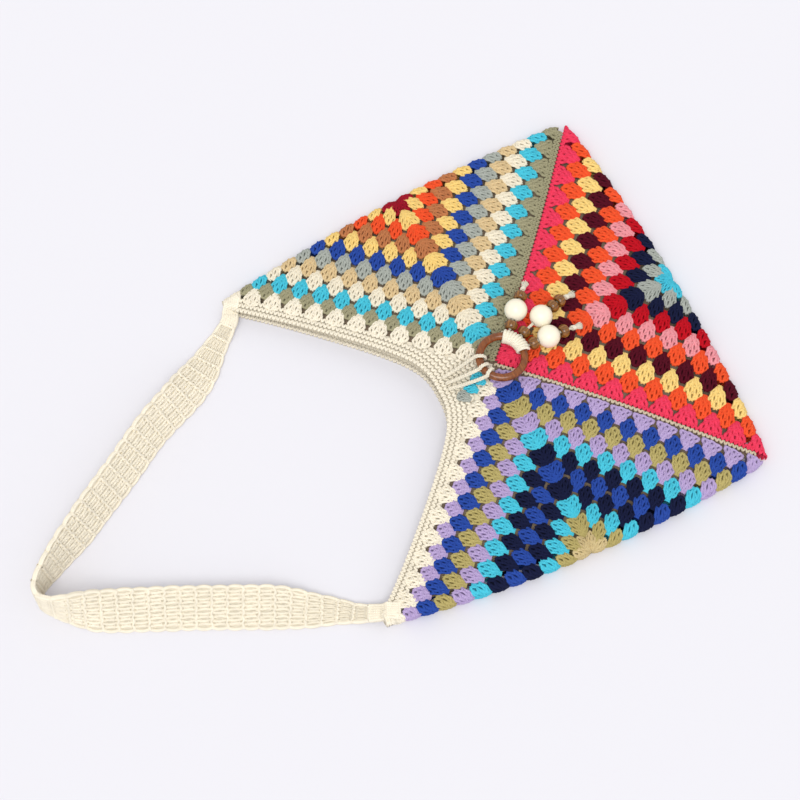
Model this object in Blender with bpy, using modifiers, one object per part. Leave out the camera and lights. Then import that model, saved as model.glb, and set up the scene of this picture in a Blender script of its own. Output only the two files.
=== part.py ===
"""A crocheted shoulder bag of three granny squares, lying on its back.

Each square is folded on its diagonal over one edge of the bag, so that one half of it is in the front and the
other half in the back. The fourth quarter of the front and of the back is left out, and is the V-shaped mouth.
The strap joins the mouth's two upper corners. A wooden ring with three strands of beads hangs at the mouth's point.

Metres, +Z up, +Y towards the strap. The origin is on the table, under the middle of the bag and strap.
"""

import math

import bmesh
import bpy
from mathutils import Vector

# Sizes of the bag
HALF_SIDE = 0.177  # from the mouth's point, straight to a folded edge
SIDE_TAPER = 0.0095  # how much wider than the middle the bottom is on each side, and how much narrower the top
EDGE_BULGE = 0.011  # how far each folded edge bows out at its middle
BOTTOM_LEAN = 0.007  # how far the bottom lies to one side
FOLD_RADIUS = 0.005  # of the cloth's middle surface at a folded edge
CLOTH = 0.0044  # thickness of the crochet
PUFF = 0.009  # how much higher the front lies at the bag's middle than at its edges
CLEARANCE = 0.0004  # between neighbours that touch

# The stitches
STITCH_CROWN = 0.0016  # how far a cluster of stitches stands proud of the cloth
STITCH_DIP = 0.0008  # how far the cloth between two clusters lies below its nominal face
SCALLOP = 0.0026  # how far a cluster's top reaches into the next round
CROWN_PLACE = 0.6  # of a cluster's highest point, as a share of the way from its base to its top
CENTRE_HOLE = 0.0035  # from the middle of a square to the corners of its hole
OLIVE_EDGING = 0.0050  # width of the single-crochet edging between the olive round and the diagonal
TAUPE_EDGING = 0.0034

# The seams between the squares
SEAM_START = 0.0090  # from the mouth's point
SEAM_STEPS = 12

# The mouth's band
BAND_RISE = 0.017  # how far the band's edge stands above the diagonal, along Y
BAND_ROUNDING = 0.037  # how much further it stands at the mouth's point
BAND_BLUNTNESS = 3  # of the mouth's point: 2 is round, and more is flatter
BAND_TIP = 0.008  # how far the band runs on past the bag's upper corners
BAND_CROWN = 0.0008

# The lining pouch
LINING = 0.0009
LINING_INSET = 0.012
LINING_BELOW_BAND = 0.006

# The strap
STRAP_THICKNESS = 0.0034
STRAP_WIDTH = 0.038
STRAP_END_WIDTH = 0.013
STRAP_INSET = 0.012  # from the bag's fold to the middle of the strap's end
STRAP_TUCK = 0.001  # how far each end reaches in under the band's edge
STRAP_WIDENING = 0.165  # share of the strap's length over which each end widens
STRAP_FLAT = 0.75  # share of its width between the rounded edges
STRAP_ROW = 0.0131  # one row of stitches along the strap
STRAP_ROW_RELIEF = 0.0007
STRAP_CLIMB = 5  # half rows over which each end rises to the bag's corner
# The middle of the strip across the table, in half sides from the mouth's point, and its roll in degrees
STRAP_ROUTE = [
    (0.845, 1.052, 0),
    (0.790, 1.120, 2),
    (0.749, 1.178, 6),
    (0.697, 1.239, 12),
    (0.646, 1.300, 22),
    (0.591, 1.381, 34),
    (0.542, 1.466, 45),
    (0.451, 1.651, 52),
    (0.318, 1.860, 54),
    (0.191, 2.072, 56),
    (0.125, 2.173, 60),
    (0.063, 2.281, 68),
    (0.002, 2.376, 78),
    (-0.042, 2.440, 86),
    (-0.088, 2.476, 90),
    (-0.135, 2.472, 92),
    (-0.175, 2.438, 96),
    (-0.210, 2.390, 106),
    (-0.247, 2.323, 122),
    (-0.287, 2.239, 142),
    (-0.340, 2.109, 153),
    (-0.455, 1.848, 158),
    (-0.592, 1.560, 160),
    (-0.649, 1.445, 164),
    (-0.712, 1.336, 170),
    (-0.772, 1.222, 176),
    (-0.832, 1.131, 180),
]

# The ring, its wrap and its yarn loops
RING_RADIUS = 0.0199  # of the ring's middle circle
RING_SECTION = 0.0035
RING_PLACE = (0.0002, -0.0100)  # from the mouth's point
YARN_RADIUS = 0.0013
WRAP_THICKNESS = 0.0016
WRAP_RIB = 0.0003  # how far each stitch of the wrap stands proud
WRAP_FROM_DEG = 258.0  # the wrap's two ends, round the ring from +X
WRAP_TO_DEG = 334.0
WRAP_SIDES = 8
WRAP_STEPS = 8
LOOP_INSET = 0.008  # from the mouth's edge to where each loop leaves the band
LOOP_ARCH = 0.0040  # how far each loop rises on its way to the ring
LOOPS = {  # where each loop leaves the band, across the bag, and where it crosses the ring, in degrees from +Y
    "ring_loop_right": (0.0070, 22.0),
    "ring_loop_middle": (0.0012, -6.0),
    "ring_loop_left": (-0.0046, -28.0),
}

# The strands of beads
CREAM_BEAD_RADIUS = 0.0102
CREAM_BEAD_STEPS = 7
BROWN_BEAD_RADIUS = 0.0060
BROWN_BEAD_LENGTH = 0.0078
BROWN_BEAD_RIM = 0.0010
BROWN_BEAD_STEPS = 4
BORE_RADIUS = 0.0020
TAIL_RADIUS = 0.0042
# Of each bead: its kind, the way to it in degrees from -Y towards +X, the gap before it, and how far below the
# cream beads' middles it lies
STRANDS = {
    "bead_cord_left": [
        ("brown", -1.5, 0.0008, 0.0020),
        ("cream", -3.1, 0.0005, 0.0),
        ("brown", -3.5, 0.0005, 0.0006),
        ("tail", 2.5, 0.0141, 0.0),
    ],
    "bead_cord_middle": [
        ("brown", 23.3, 0.0011, 0.0022),
        ("cream", 18.0, 0.0069, 0.0),
        ("brown", 17.4, 0.0006, 0.0002),
        ("brown", 16.7, 0.0006, 0.0008),
        ("tail", 11.4, 0.0123, 0.0),
    ],
    "bead_cord_right": [
        ("brown", 47.6, 0.0013, 0.0020),
        ("cream", 46.7, 0.0006, 0.0),
        ("brown", 46.4, 0.0005, 0.0006),
        ("tail", 46.7, 0.0132, 0.0),
    ],
}
KNOT_FROM = 0.84  # shares of a cord's length where its knot and its flared tail start
TAIL_FROM = 0.90
KNOT_SHARE = 0.55  # the knot's radius as a share of the tail's

# Points along the curves, and round the turned pieces
ROUTE_PIECES = 16  # pieces that each stretch of a route is first measured in
LOOP_STEP = 0.0034
CORD_STEP = 0.0040
LOOP_TURNS_DEG = (30, 65, 100, 135, 170, 205)  # places of a loop's points round the ring's section
LEAST_BACK_STEPS = 3
LINING_COLUMNS = 10
LINING_ROWS = 4
RING_SEGMENTS = 30
RING_SIDES = 8
CREAM_BEAD_SIDES = 14
BROWN_BEAD_SIDES = 12

WHITE = (0.88, 0.84, 0.75)
CREAM = (0.90, 0.80, 0.62)
BEAD_CREAM = (0.93, 0.89, 0.75)
OLIVE = (0.24, 0.22, 0.12)
TAUPE = (0.40, 0.31, 0.22)
RING_WOOD = (0.16, 0.045, 0.015)
BEAD_BROWN = (0.20, 0.085, 0.02)
YARNS = {
    "darkred": (0.42, 0.015, 0.035),
    "yellow": (0.90, 0.58, 0.17),
    "orange": (0.90, 0.095, 0.035),
    "brown": (0.36, 0.135, 0.06),
    "blue": (0.025, 0.065, 0.29),
    "grey": (0.27, 0.29, 0.27),
    "tan": (0.55, 0.42, 0.22),
    "cream": CREAM,
    "cyan": (0.09, 0.58, 0.74),
    "olive": OLIVE,
    "navy": (0.012, 0.016, 0.055),
    "red": (0.55, 0.015, 0.025),
    "pink": (0.82, 0.30, 0.36),
    "maroon": (0.10, 0.008, 0.02),
    "coral": (0.78, 0.05, 0.09),
    "khaki": (0.38, 0.29, 0.10),
    "lavender": (0.47, 0.36, 0.62),
    "sand": (0.80, 0.70, 0.50),
}

# Each square: the direction of its folded edge from the mouth's point, and its rounds from the centre out
SQUARES = {
    "olive_square": {
        "edge": "right",
        "edging": OLIVE_EDGING,
        "rounds": "darkred yellow orange brown yellow blue grey tan cream cyan olive".split(),
    },
    "coral_square": {
        "edge": "bottom",
        "edging": TAUPE_EDGING,
        "rounds": "cyan grey navy red pink orange maroon yellow orange coral".split(),
    },
    "lavender_square": {
        "edge": "left",
        "edging": TAUPE_EDGING,
        "rounds": "sand khaki cyan navy blue navy cyan lavender khaki blue lavender".split(),
    },
}

QUARTER_TURN = FOLD_RADIUS * math.pi / 2  # cloth that a quarter turn of the fold takes
FLAT_HALF = HALF_SIDE + QUARTER_TURN - FOLD_RADIUS  # half a square's diagonal before it is folded
BACK_MIDDLE = CLOTH / 2
FOLD_MIDDLE = BACK_MIDDLE + FOLD_RADIUS
FRONT, BACK = 1, -1
TOP_LIFT = CLOTH / 2
CORNER = math.sqrt(2)
FRONT_UNDERSIDE = FOLD_MIDDLE + FOLD_RADIUS - TOP_LIFT
STRAP_SEAT = FRONT_UNDERSIDE - CLEARANCE - (STRAP_THICKNESS + STRAP_ROW_RELIEF) / 2
WRAP_BORE = RING_SECTION / math.cos(math.pi / WRAP_SIDES) + CLEARANCE
RING_HEIGHT = 3 * CLEARANCE + 2 * YARN_RADIUS + RING_SECTION


def start_scene():
    for old in list(bpy.data.objects):
        bpy.data.objects.remove(old)
    parts = bpy.data.collections.new("granny_square_shoulder_bag")
    bpy.context.scene.collection.children.link(parts)
    return parts


def material(name, colour, roughness=0.85, metallic=0.0):
    found = bpy.data.materials.get(name)
    if found:
        return found
    made = bpy.data.materials.new(name)
    made.use_nodes = True
    shader = made.node_tree.nodes["Principled BSDF"]
    shader.inputs["Base Color"].default_value = (*colour, 1.0)
    shader.inputs["Roughness"].default_value = roughness
    shader.inputs["Metallic"].default_value = metallic
    return made


def add_object(name, data, parts, finish, smooth_angle=50.0):
    """Puts a mesh or a curve in the bag's collection."""
    data.materials.append(finish)
    made = bpy.data.objects.new(name, data)
    parts.objects.link(made)
    if isinstance(data, bpy.types.Mesh):
        data.shade_smooth()
        data.set_sharp_from_angle(angle=math.radians(smooth_angle))
    return made


def mesh_of(name, points, faces):
    """A closed mesh whose faces all point out."""
    mesh = bpy.data.meshes.new(name)
    mesh.from_pydata([tuple(p) for p in points], [], faces)
    shape = bmesh.new()
    shape.from_mesh(mesh)
    bmesh.ops.triangulate(shape, faces=shape.faces[:], quad_method="SHORT_EDGE")
    bmesh.ops.recalc_face_normals(shape, faces=shape.faces[:])
    if shape.calc_volume(signed=True) < 0:
        bmesh.ops.reverse_faces(shape, faces=shape.faces[:])
    shape.to_mesh(mesh)
    shape.free()
    return mesh


def loft(stations, closed=False):
    """Faces and points of a body through rings of equally many points, capped at its ends or closed on itself."""
    points = [p for ring in stations for p in ring]
    count, around = len(stations), len(stations[0])
    faces = []
    for i in range(count if closed else count - 1):
        here, there = i * around, (i + 1) % count * around
        for j in range(around):
            k = (j + 1) % around
            faces.append((here + j, here + k, there + k, there + j))
    if not closed:
        faces.append(tuple(range(around)))
        faces.append(tuple(range((count - 1) * around, count * around)))
    return points, faces


# The folded cloth


def shape_of_bag(across, along):
    """From the ideal square, centred on the mouth's point, to the bag as it lies: sides that taper and bow out."""
    x, y = across / HALF_SIDE, along / HALF_SIDE
    bow_side = EDGE_BULGE * x**3 * max(1 - y * y, 0)
    bow_bottom = EDGE_BULGE * ((1 - y) / 2) ** 2 * max(1 - x * x, 0)
    lean = BOTTOM_LEAN * ((1 - y) / 2) ** 2
    return across - SIDE_TAPER * y * x + bow_side + lean, along - bow_bottom


def puffed(across, along):
    x, y = across / HALF_SIDE, along / HALF_SIDE
    return PUFF * max(1 - x * x, 0) * max(1 - y * y, 0)


def skin(across, along, side, lift):
    """A point of the flat part of the front or back, lifted off the cloth's middle surface, outwards."""
    x, y = shape_of_bag(across, along)
    if side == BACK:
        return Vector((x, y, BACK_MIDDLE - lift))
    return Vector((x, y, FOLD_MIDDLE + FOLD_RADIUS + puffed(across, along) + lift))


def run_in(distance):
    """How far in from a folded edge the cloth lies that is this far from the fold's outermost line."""
    if distance < 0:
        return distance
    if distance < QUARTER_TURN:
        return FOLD_RADIUS * (1 - math.cos(distance / FOLD_RADIUS))
    return FOLD_RADIUS + distance - QUARTER_TURN


def run_out(distance):
    """The other way round: the cloth between the fold's outermost line and a place this far in from it."""
    if distance < 0:
        return distance
    if distance < FOLD_RADIUS:
        return FOLD_RADIUS * math.acos(1 - distance / FOLD_RADIUS)
    return distance - FOLD_RADIUS + QUARTER_TURN


def folded(edge, along_fold, from_fold, side, lift):
    """A point of a square: along its folded diagonal from the middle, and away from it, before folding."""
    angle = min(from_fold / FOLD_RADIUS, math.pi / 2)
    reach = HALF_SIDE - run_in(from_fold) + lift * math.cos(angle)
    run = math.copysign(HALF_SIDE - run_in(FLAT_HALF - abs(along_fold)), along_fold)
    across, along = {"right": (reach, run), "bottom": (run, -reach), "left": (-reach, run)}[edge]
    x, y = shape_of_bag(across, along)
    rise = (FOLD_RADIUS + lift) * math.sin(angle)
    if side == BACK:
        return Vector((x, y, FOLD_MIDDLE - rise))
    return Vector((x, y, FOLD_MIDDLE + rise + puffed(across, along) * math.sin(angle)))


# The rounds of the granny squares


def back_steps(number):
    """Straight pieces in each leg of a round on the plain back."""
    return LEAST_BACK_STEPS + number // 2


def leg_shares(square, number, side, steps):
    """Places along a leg of a round's edge, from its corner on the fold, and which of them are a cluster's top."""
    if side == FRONT:
        count = 2 * (number + 1)
        return [(i / count, i % 2 == 1) for i in range(count + 1)]
    near = min(QUARTER_TURN / edge_size(square, number), 0.5)
    return [(0.0, False)] + [(near + (1 - near) * i / (steps - 1), False) for i in range(steps)]


def edge_size(square, number):
    """From the square's centre to the corners of the edge that has number rounds inside it."""
    return max(number * pitch_of(square) * CORNER, CENTRE_HOLE)


def leg_points(square, number, outwards, side, hand, steps):
    """One leg of the edge that has number rounds inside it, as (along the fold, from the fold, side) of its points.

    In the front, a leg has a point for each cluster's top and for each dip between two clusters.
    """
    size = edge_size(square, number)
    at_rim = number in (0, len(square["rounds"]))
    points = []
    for share, top in leg_shares(square, number, side, steps):
        scalloped = side == FRONT and number > 0 and (not at_rim or opens(square, hand))
        swing = (SCALLOP if top else -SCALLOP) if scalloped else 0.0
        along, away = size * (1 - share), size * share
        if share == 0.0:
            along += outwards * CORNER
        elif share == 1.0:
            dip = 0.0 if at_rim or side == BACK else SCALLOP
            away += (outwards - dip) * CORNER
        else:
            along += (outwards + swing) / CORNER
            away += (outwards + swing) / CORNER
        points.append((hand * along, away, side))
    return points


def edge_loop(square, number, outwards, steps):
    """One edge of a round, all the way round: both legs in the front, then both in the back."""
    loop = []
    for side, hand in ((FRONT, 1), (FRONT, -1), (BACK, -1), (BACK, 1)):
        leg = leg_points(square, number, outwards, side, hand, steps)
        if hand != side:
            leg.reverse()
        loop += leg[:-1]
    return loop


def opens(square, hand):
    """Whether this leg of the square borders the mouth, where the band meets its scallops."""
    return square["edge"] != "bottom" and hand == 1


def round_mesh(name, square, number):
    """One round: a puffed cell for each cluster in the front, and plain strips in the back."""
    steps = back_steps(number)
    inner = edge_loop(square, number - 1, CLEARANCE / 2, steps)
    outer = edge_loop(square, number, -CLEARANCE / 2, steps)
    edge = square["edge"]
    points, faces = [], []

    def lay(loop, lift_front, lift_back):
        first = len(points)
        for along, away, side in loop:
            points.append(folded(edge, along, away, side, lift_front if side == FRONT else lift_back))
        return [first + i for i in range(len(loop))]

    inner_top = lay(inner, TOP_LIFT - STITCH_DIP, TOP_LIFT)
    outer_top = lay(outer, TOP_LIFT - STITCH_DIP, TOP_LIFT)
    inner_low = lay(inner, -TOP_LIFT, -TOP_LIFT)
    outer_low = lay(outer, -TOP_LIFT, -TOP_LIFT)
    for top, low in ((inner_top, inner_low), (outer_top, outer_low)):
        for i in range(len(top)):
            j = (i + 1) % len(top)
            faces.append((top[i], top[j], low[j], low[i]))
    cells = front_cells(number)
    for outer_part, inner_part in cells:
        rim = [outer_top[i] for i in outer_part] + [inner_top[i] for i in reversed(inner_part)]
        crown = crown_of(inner, outer, outer_part, inner_part)
        points.append(folded(edge, *crown, TOP_LIFT + STITCH_CROWN))
        for a, b in zip(rim, rim[1:] + rim[:1]):
            faces.append((a, b, len(points) - 1))
        low_rim = [outer_low[i] for i in outer_part] + [inner_low[i] for i in reversed(inner_part)]
        for a, b in zip(low_rim[1:], low_rim[2:]):
            faces.append((low_rim[0], a, b))
    outer_back, inner_back = 4 * (number + 1), 4 * number
    for i in range(2 * steps):
        a, b = outer_back + i, (outer_back + i + 1) % len(outer)
        c, d = inner_back + i, (inner_back + i + 1) % len(inner)
        faces.append((outer_top[a], outer_top[b], inner_top[d], inner_top[c]))
        faces.append((outer_low[a], outer_low[b], inner_low[d], inner_low[c]))
    return mesh_of(name, points, faces)


def front_cells(number):
    """For each cluster in the front, the places of its corners in the round's outer and inner edge loops."""
    cells = []
    for leg in (0, 1):
        outer_start, inner_start = leg * 2 * (number + 1), leg * 2 * number
        for i in range(number + 1):
            outer_part = [outer_start + 2 * i + k for k in range(3)]
            inner_part = [inner_start + 2 * i + k for k in (-1, 0, 1)]
            inner_part = [k for k in inner_part if inner_start <= k <= inner_start + 2 * number]
            cells.append((outer_part, inner_part))
    return cells


def crown_of(inner, outer, outer_part, inner_part):
    """A cluster's highest point, nearer its wide outer end."""
    base = [inner[i] for i in inner_part]
    tops = [outer[i] for i in outer_part]
    places = []
    for k in (0, 1):
        low, high = sum(p[k] for p in base) / len(base), sum(p[k] for p in tops) / len(tops)
        places.append(low + (high - low) * CROWN_PLACE)
    return *places, FRONT


def pitch_of(square):
    """The width of one round, so that all of them and the edging fill the square."""
    return (FLAT_HALF / CORNER - square["edging"]) / len(square["rounds"])


def build_squares(parts):
    for square_name, square in SQUARES.items():
        for number, yarn in enumerate(square["rounds"], start=1):
            name = f"{square_name}_round_{number:02d}_{yarn}"
            mesh = round_mesh(name, square, number)
            add_object(name, mesh, parts, material(f"{yarn}_yarn", YARNS[yarn]))


# Seams, band and lining


def seam_stations(hand, upper_width, side):
    """Sections across a seam, from near the mouth's point out to the bag's lower corner."""
    upper, lower = upper_width - CLEARANCE / 2, CLEARANCE / 2 - TAUPE_EDGING
    crown, dip = (BAND_CROWN, STITCH_DIP) if side == FRONT else (0.0, 0.0)
    section = [
        (upper, -TOP_LIFT),
        (upper, TOP_LIFT - dip),
        ((upper + lower) / 2, TOP_LIFT + crown),
        (lower, TOP_LIFT - dip),
        (lower, -TOP_LIFT),
    ]
    stations = []
    for i in range(SEAM_STEPS + 1):
        reach = SEAM_START + (HALF_SIDE - 2 * QUARTER_TURN - SEAM_START) * i / SEAM_STEPS
        places = [(hand * (reach + off / CORNER), off / CORNER - reach, lift) for off, lift in section]
        stations.append([skin(across, along, side, lift) for across, along, lift in places])
    return stations


def build_seams(parts):
    """The rows of single crochet that join the squares, between their edges and along the bag's lower diagonals."""
    for yarn, hand, upper_width, colour in (
        ("olive", 1, OLIVE_EDGING, OLIVE),
        ("taupe", -1, TAUPE_EDGING, TAUPE),
    ):
        for side, word in ((FRONT, "front"), (BACK, "back")):
            name = f"{word}_{yarn}_seam"
            mesh = mesh_of(name, *loft(seam_stations(hand, upper_width, side)))
            add_object(name, mesh, parts, material(f"{yarn}_yarn", colour))


def band_edge(across):
    """The mouth's edge: straight legs that run together in a round point."""
    raised = abs(across) ** BAND_BLUNTNESS + BAND_ROUNDING**BAND_BLUNTNESS
    return raised ** (1 / BAND_BLUNTNESS) + BAND_RISE


def band_leg(square_name, side):
    """The band's inner edge along one square's leg, from the bag's upper corner to the mouth's point."""
    square = SQUARES[square_name]
    rounds = len(square["rounds"])
    points = leg_points(square, rounds, 1.5 * CLEARANCE, side, 1, back_steps(rounds))
    return [(square["edge"], point) for point in points]


def build_band(parts):
    """The cream round and edging rows: one closed band round the mouth, through the front and the back."""
    stations = []
    for right_to_left, side in ((True, FRONT), (False, BACK)):
        right, left = band_leg("olive_square", side), band_leg("lavender_square", side)
        line = right + left[::-1] if right_to_left else left + right[::-1]
        stations.append(band_tip(*line[0]))
        stations += [band_section(edge, *point) for edge, point in line if point[1] > 0]
    mesh = mesh_of("opening_band", *loft(stations, closed=True))
    add_object("opening_band", mesh, parts, material("cream_yarn", CREAM))


def band_tip(edge, point):
    """The band's section at the bag's upper corner, where it goes round the fold from the front to the back."""
    inner, outer = point[0], FLAT_HALF + BAND_TIP
    return [
        folded(edge, inner, 0.0, FRONT, -TOP_LIFT),
        folded(edge, inner, 0.0, FRONT, TOP_LIFT),
        folded(edge, (inner + outer) / 2, 0.0, FRONT, TOP_LIFT),
        folded(edge, outer, 0.0, FRONT, TOP_LIFT),
        folded(edge, outer, 0.0, FRONT, -TOP_LIFT),
    ]


def band_section(edge, along, away, side):
    """The band's section across one leg, from the square's edge to the mouth's edge."""
    reach = HALF_SIDE - run_in(away)
    shift = BAND_RISE / 2 * (1 - math.exp(-reach / BAND_ROUNDING))
    outer_along = FLAT_HALF - run_out(HALF_SIDE - band_edge(reach - shift))
    outer_away = away + shift
    crown, dip = (BAND_CROWN, STITCH_DIP) if side == FRONT else (0.0, 0.0)
    return [
        folded(edge, along, away, side, -TOP_LIFT),
        folded(edge, along, away, side, TOP_LIFT - dip),
        folded(edge, (along + outer_along) / 2, (away + outer_away) / 2, side, TOP_LIFT + crown),
        folded(edge, outer_along, outer_away, side, TOP_LIFT - dip),
        folded(edge, outer_along, outer_away, side, -TOP_LIFT),
    ]


def build_lining(parts):
    """A cloth pouch inside the crochet, open along the mouth."""
    columns, rows = LINING_COLUMNS, LINING_ROWS
    reach = HALF_SIDE - LINING_INSET
    inset = TOP_LIFT + CLEARANCE + LINING / 2
    points, faces = [], []
    for side in (FRONT, BACK):
        for i in range(columns + 1):
            across = -reach + 2 * reach * i / columns
            mouth = min(abs(across) + LINING_BELOW_BAND, HALF_SIDE - 2 * LINING_INSET)
            for j in range(rows + 1):
                along = -reach + (mouth + reach) * j / rows
                points.append(skin(across, along, side, -inset))
    sheet = (columns + 1) * (rows + 1)

    def place(i, j, side):
        return (0 if side == FRONT else sheet) + i * (rows + 1) + j

    for side in (FRONT, BACK):
        for i in range(columns):
            for j in range(rows):
                corners = ((i, j), (i + 1, j), (i + 1, j + 1), (i, j + 1))
                faces.append([place(*corner, side) for corner in corners])
    bottom = [(i, 0) for i in range(columns, -1, -1)]
    rim = [(columns, j) for j in range(rows, 0, -1)] + bottom + [(0, j) for j in range(1, rows + 1)]
    for a, b in zip(rim, rim[1:]):
        faces.append((place(*a, BACK), place(*b, BACK), place(*b, FRONT), place(*a, FRONT)))
    mesh = bpy.data.meshes.new("lining_pouch")
    mesh.from_pydata([tuple(p) for p in points], [], faces)
    pouch = bmesh.new()
    pouch.from_mesh(mesh)
    bmesh.ops.recalc_face_normals(pouch, faces=pouch.faces[:])
    pouch.to_mesh(mesh)
    pouch.free()
    made = add_object("lining_pouch", mesh, parts, material("taupe_cloth", TAUPE))
    thick = made.modifiers.new("cloth_thickness", "SOLIDIFY")
    thick.thickness = LINING
    thick.offset = 0.0


# The strap


def smooth_route(route, step):
    """Points a step apart on a smooth curve through a route, with any further values blended along."""
    fine = []
    for i in range(len(route) - 1):
        before, here, there, after = [Vector(route[max(0, min(len(route) - 1, i + k))]) for k in (-1, 0, 1, 2)]
        for j in range(ROUTE_PIECES):
            t = j / ROUTE_PIECES
            bend = 2 * before - 5 * here + 4 * there - after
            twist = 3 * here - before - 3 * there + after
            fine.append((2 * here + (there - before) * t + bend * t * t + twist * t**3) / 2)
    fine.append(Vector(route[-1]))
    lengths = [0.0]
    for a, b in zip(fine, fine[1:]):
        lengths.append(lengths[-1] + (Vector(b[:3]) - Vector(a[:3])).length)
    count = max(2, round(lengths[-1] / step))
    points, k = [], 0
    for i in range(count + 1):
        want = lengths[-1] * i / count
        while k < len(lengths) - 2 and lengths[k + 1] < want:
            k += 1
        share = (want - lengths[k]) / (lengths[k + 1] - lengths[k])
        points.append(fine[k].lerp(fine[k + 1], share))
    return points


def strap_width(share):
    """Narrow where it joins the bag, and full a little way along."""
    ease = min(min(share, 1 - share) / STRAP_WIDENING, 1.0)
    return STRAP_END_WIDTH + (STRAP_WIDTH - STRAP_END_WIDTH) * (3 - 2 * ease) * ease * ease


def strap_end(hand, ahead):
    """Where the strap starts, tucked in under the mouth's edge beside one of the bag's upper corners."""
    across = HALF_SIDE - STRAP_INSET
    x, y = shape_of_bag(hand * across, band_edge(across))
    way = Vector((ahead[0] * HALF_SIDE - x, ahead[1] * HALF_SIDE - y)).normalized()
    return x - way.x * STRAP_TUCK, y - way.y * STRAP_TUCK, 0.0, ahead[2]


def build_strap(parts):
    """A flat strip with a ridge for each row of stitches, which turns over once where it bends."""
    middle = [(x * HALF_SIDE, y * HALF_SIDE, 0.0, roll) for x, y, roll in STRAP_ROUTE]
    ends = strap_end(1, STRAP_ROUTE[0]), strap_end(-1, STRAP_ROUTE[-1])
    route = smooth_route([ends[0], *middle, ends[1]], STRAP_ROW / 2)
    last = len(route) - 1
    stations = []
    for i, here in enumerate(route):
        ahead = route[min(i + 1, last)] - route[max(i - 1, 0)]
        level = Vector((ahead[1], -ahead[0], 0.0)).normalized()
        roll = math.radians(here[3])
        broad = level * math.cos(roll) + Vector((0, 0, math.sin(roll)))
        through = Vector((0, 0, math.cos(roll))) - level * math.sin(roll)
        ridge = STRAP_ROW_RELIEF * (1 if i % 2 else -1)
        half = strap_width(i / last) / 2 + ridge
        thick = STRAP_THICKNESS / 2 + ridge / 2
        low = half * abs(math.sin(roll)) + thick * abs(math.cos(roll))
        climb = max(0.0, 1 - min(i, last - i) / STRAP_CLIMB)
        centre = Vector((here[0], here[1], low + climb * (STRAP_SEAT - low)))
        outline = ((1, 0), (STRAP_FLAT, 1), (-STRAP_FLAT, 1), (-1, 0), (-STRAP_FLAT, -1), (STRAP_FLAT, -1))
        stations.append([centre + broad * half * a + through * thick * b for a, b in outline])
    add_object("shoulder_strap", mesh_of("shoulder_strap", *loft(stations)), parts, material("cream_yarn", CREAM))


# The ring, its wrap and loops, and the beads


def above_cloth(x, y, height):
    """A point this far above the tops of the front's stitches."""
    return Vector((x, y, FOLD_MIDDLE + FOLD_RADIUS + puffed(x, y) + TOP_LIFT + STITCH_CROWN + height))


def ring_centre():
    """The ring lies flat on the yarn that goes round it, on the front at the mouth's point."""
    return above_cloth(*RING_PLACE, RING_HEIGHT)


def build_ring(parts):
    bpy.ops.mesh.primitive_torus_add(
        major_radius=RING_RADIUS,
        minor_radius=RING_SECTION,
        major_segments=RING_SEGMENTS,
        minor_segments=RING_SIDES,
        location=ring_centre(),
    )
    ring = bpy.context.object
    ring.name = ring.data.name = "wooden_ring"
    for holder in list(ring.users_collection):
        holder.objects.unlink(ring)
    parts.objects.link(ring)
    ring.data.materials.clear()
    ring.data.materials.append(material("ring_wood", RING_WOOD, 0.25))
    ring.data.shade_smooth()


def build_wrap(parts):
    """A crocheted sleeve round part of the ring: a tube with the ring's section as its bore."""
    centre = ring_centre()
    turns = [2 * math.pi * j / WRAP_SIDES for j in range(WRAP_SIDES)]
    points, faces = [], []
    for i in range(WRAP_STEPS + 1):
        angle = math.radians(WRAP_FROM_DEG + (WRAP_TO_DEG - WRAP_FROM_DEG) * i / WRAP_STEPS)
        out = Vector((math.cos(angle), math.sin(angle), 0))
        outside = WRAP_BORE + WRAP_THICKNESS + WRAP_RIB * (i % 2)
        for radius in (WRAP_BORE, outside):
            for turn in turns:
                rise = Vector((0, 0, radius * math.sin(turn)))
                points.append(centre + out * (RING_RADIUS + radius * math.cos(turn)) + rise)
    around = 2 * WRAP_SIDES
    for j in range(WRAP_SIDES):
        k = (j + 1) % WRAP_SIDES
        for here in range(0, WRAP_STEPS * around, around):
            for a, b in ((j, k), (WRAP_SIDES + j, WRAP_SIDES + k)):
                faces.append((here + a, here + b, here + around + b, here + around + a))
        for end in (0, WRAP_STEPS * around):
            faces.append((end + j, end + k, end + WRAP_SIDES + k, end + WRAP_SIDES + j))
    add_object("ring_wrap", mesh_of("ring_wrap", points, faces), parts, material("white_yarn", WHITE))


def tube(name, route, step, parts, swell=None):
    """A white yarn along a smooth curve through a route, thicker where swell says."""
    points = smooth_route([tuple(p) for p in route], step)
    curve = bpy.data.curves.new(name, "CURVE")
    curve.dimensions = "3D"
    curve.bevel_depth = YARN_RADIUS
    curve.bevel_resolution = 2
    curve.use_fill_caps = True
    line = curve.splines.new("POLY")
    line.points.add(len(points) - 1)
    for i, point in enumerate(points):
        line.points[i].co = (*point, 1.0)
        line.points[i].radius = swell(i / (len(points) - 1)) if swell else 1.0
    return add_object(name, curve, parts, material("white_yarn", WHITE))


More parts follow.
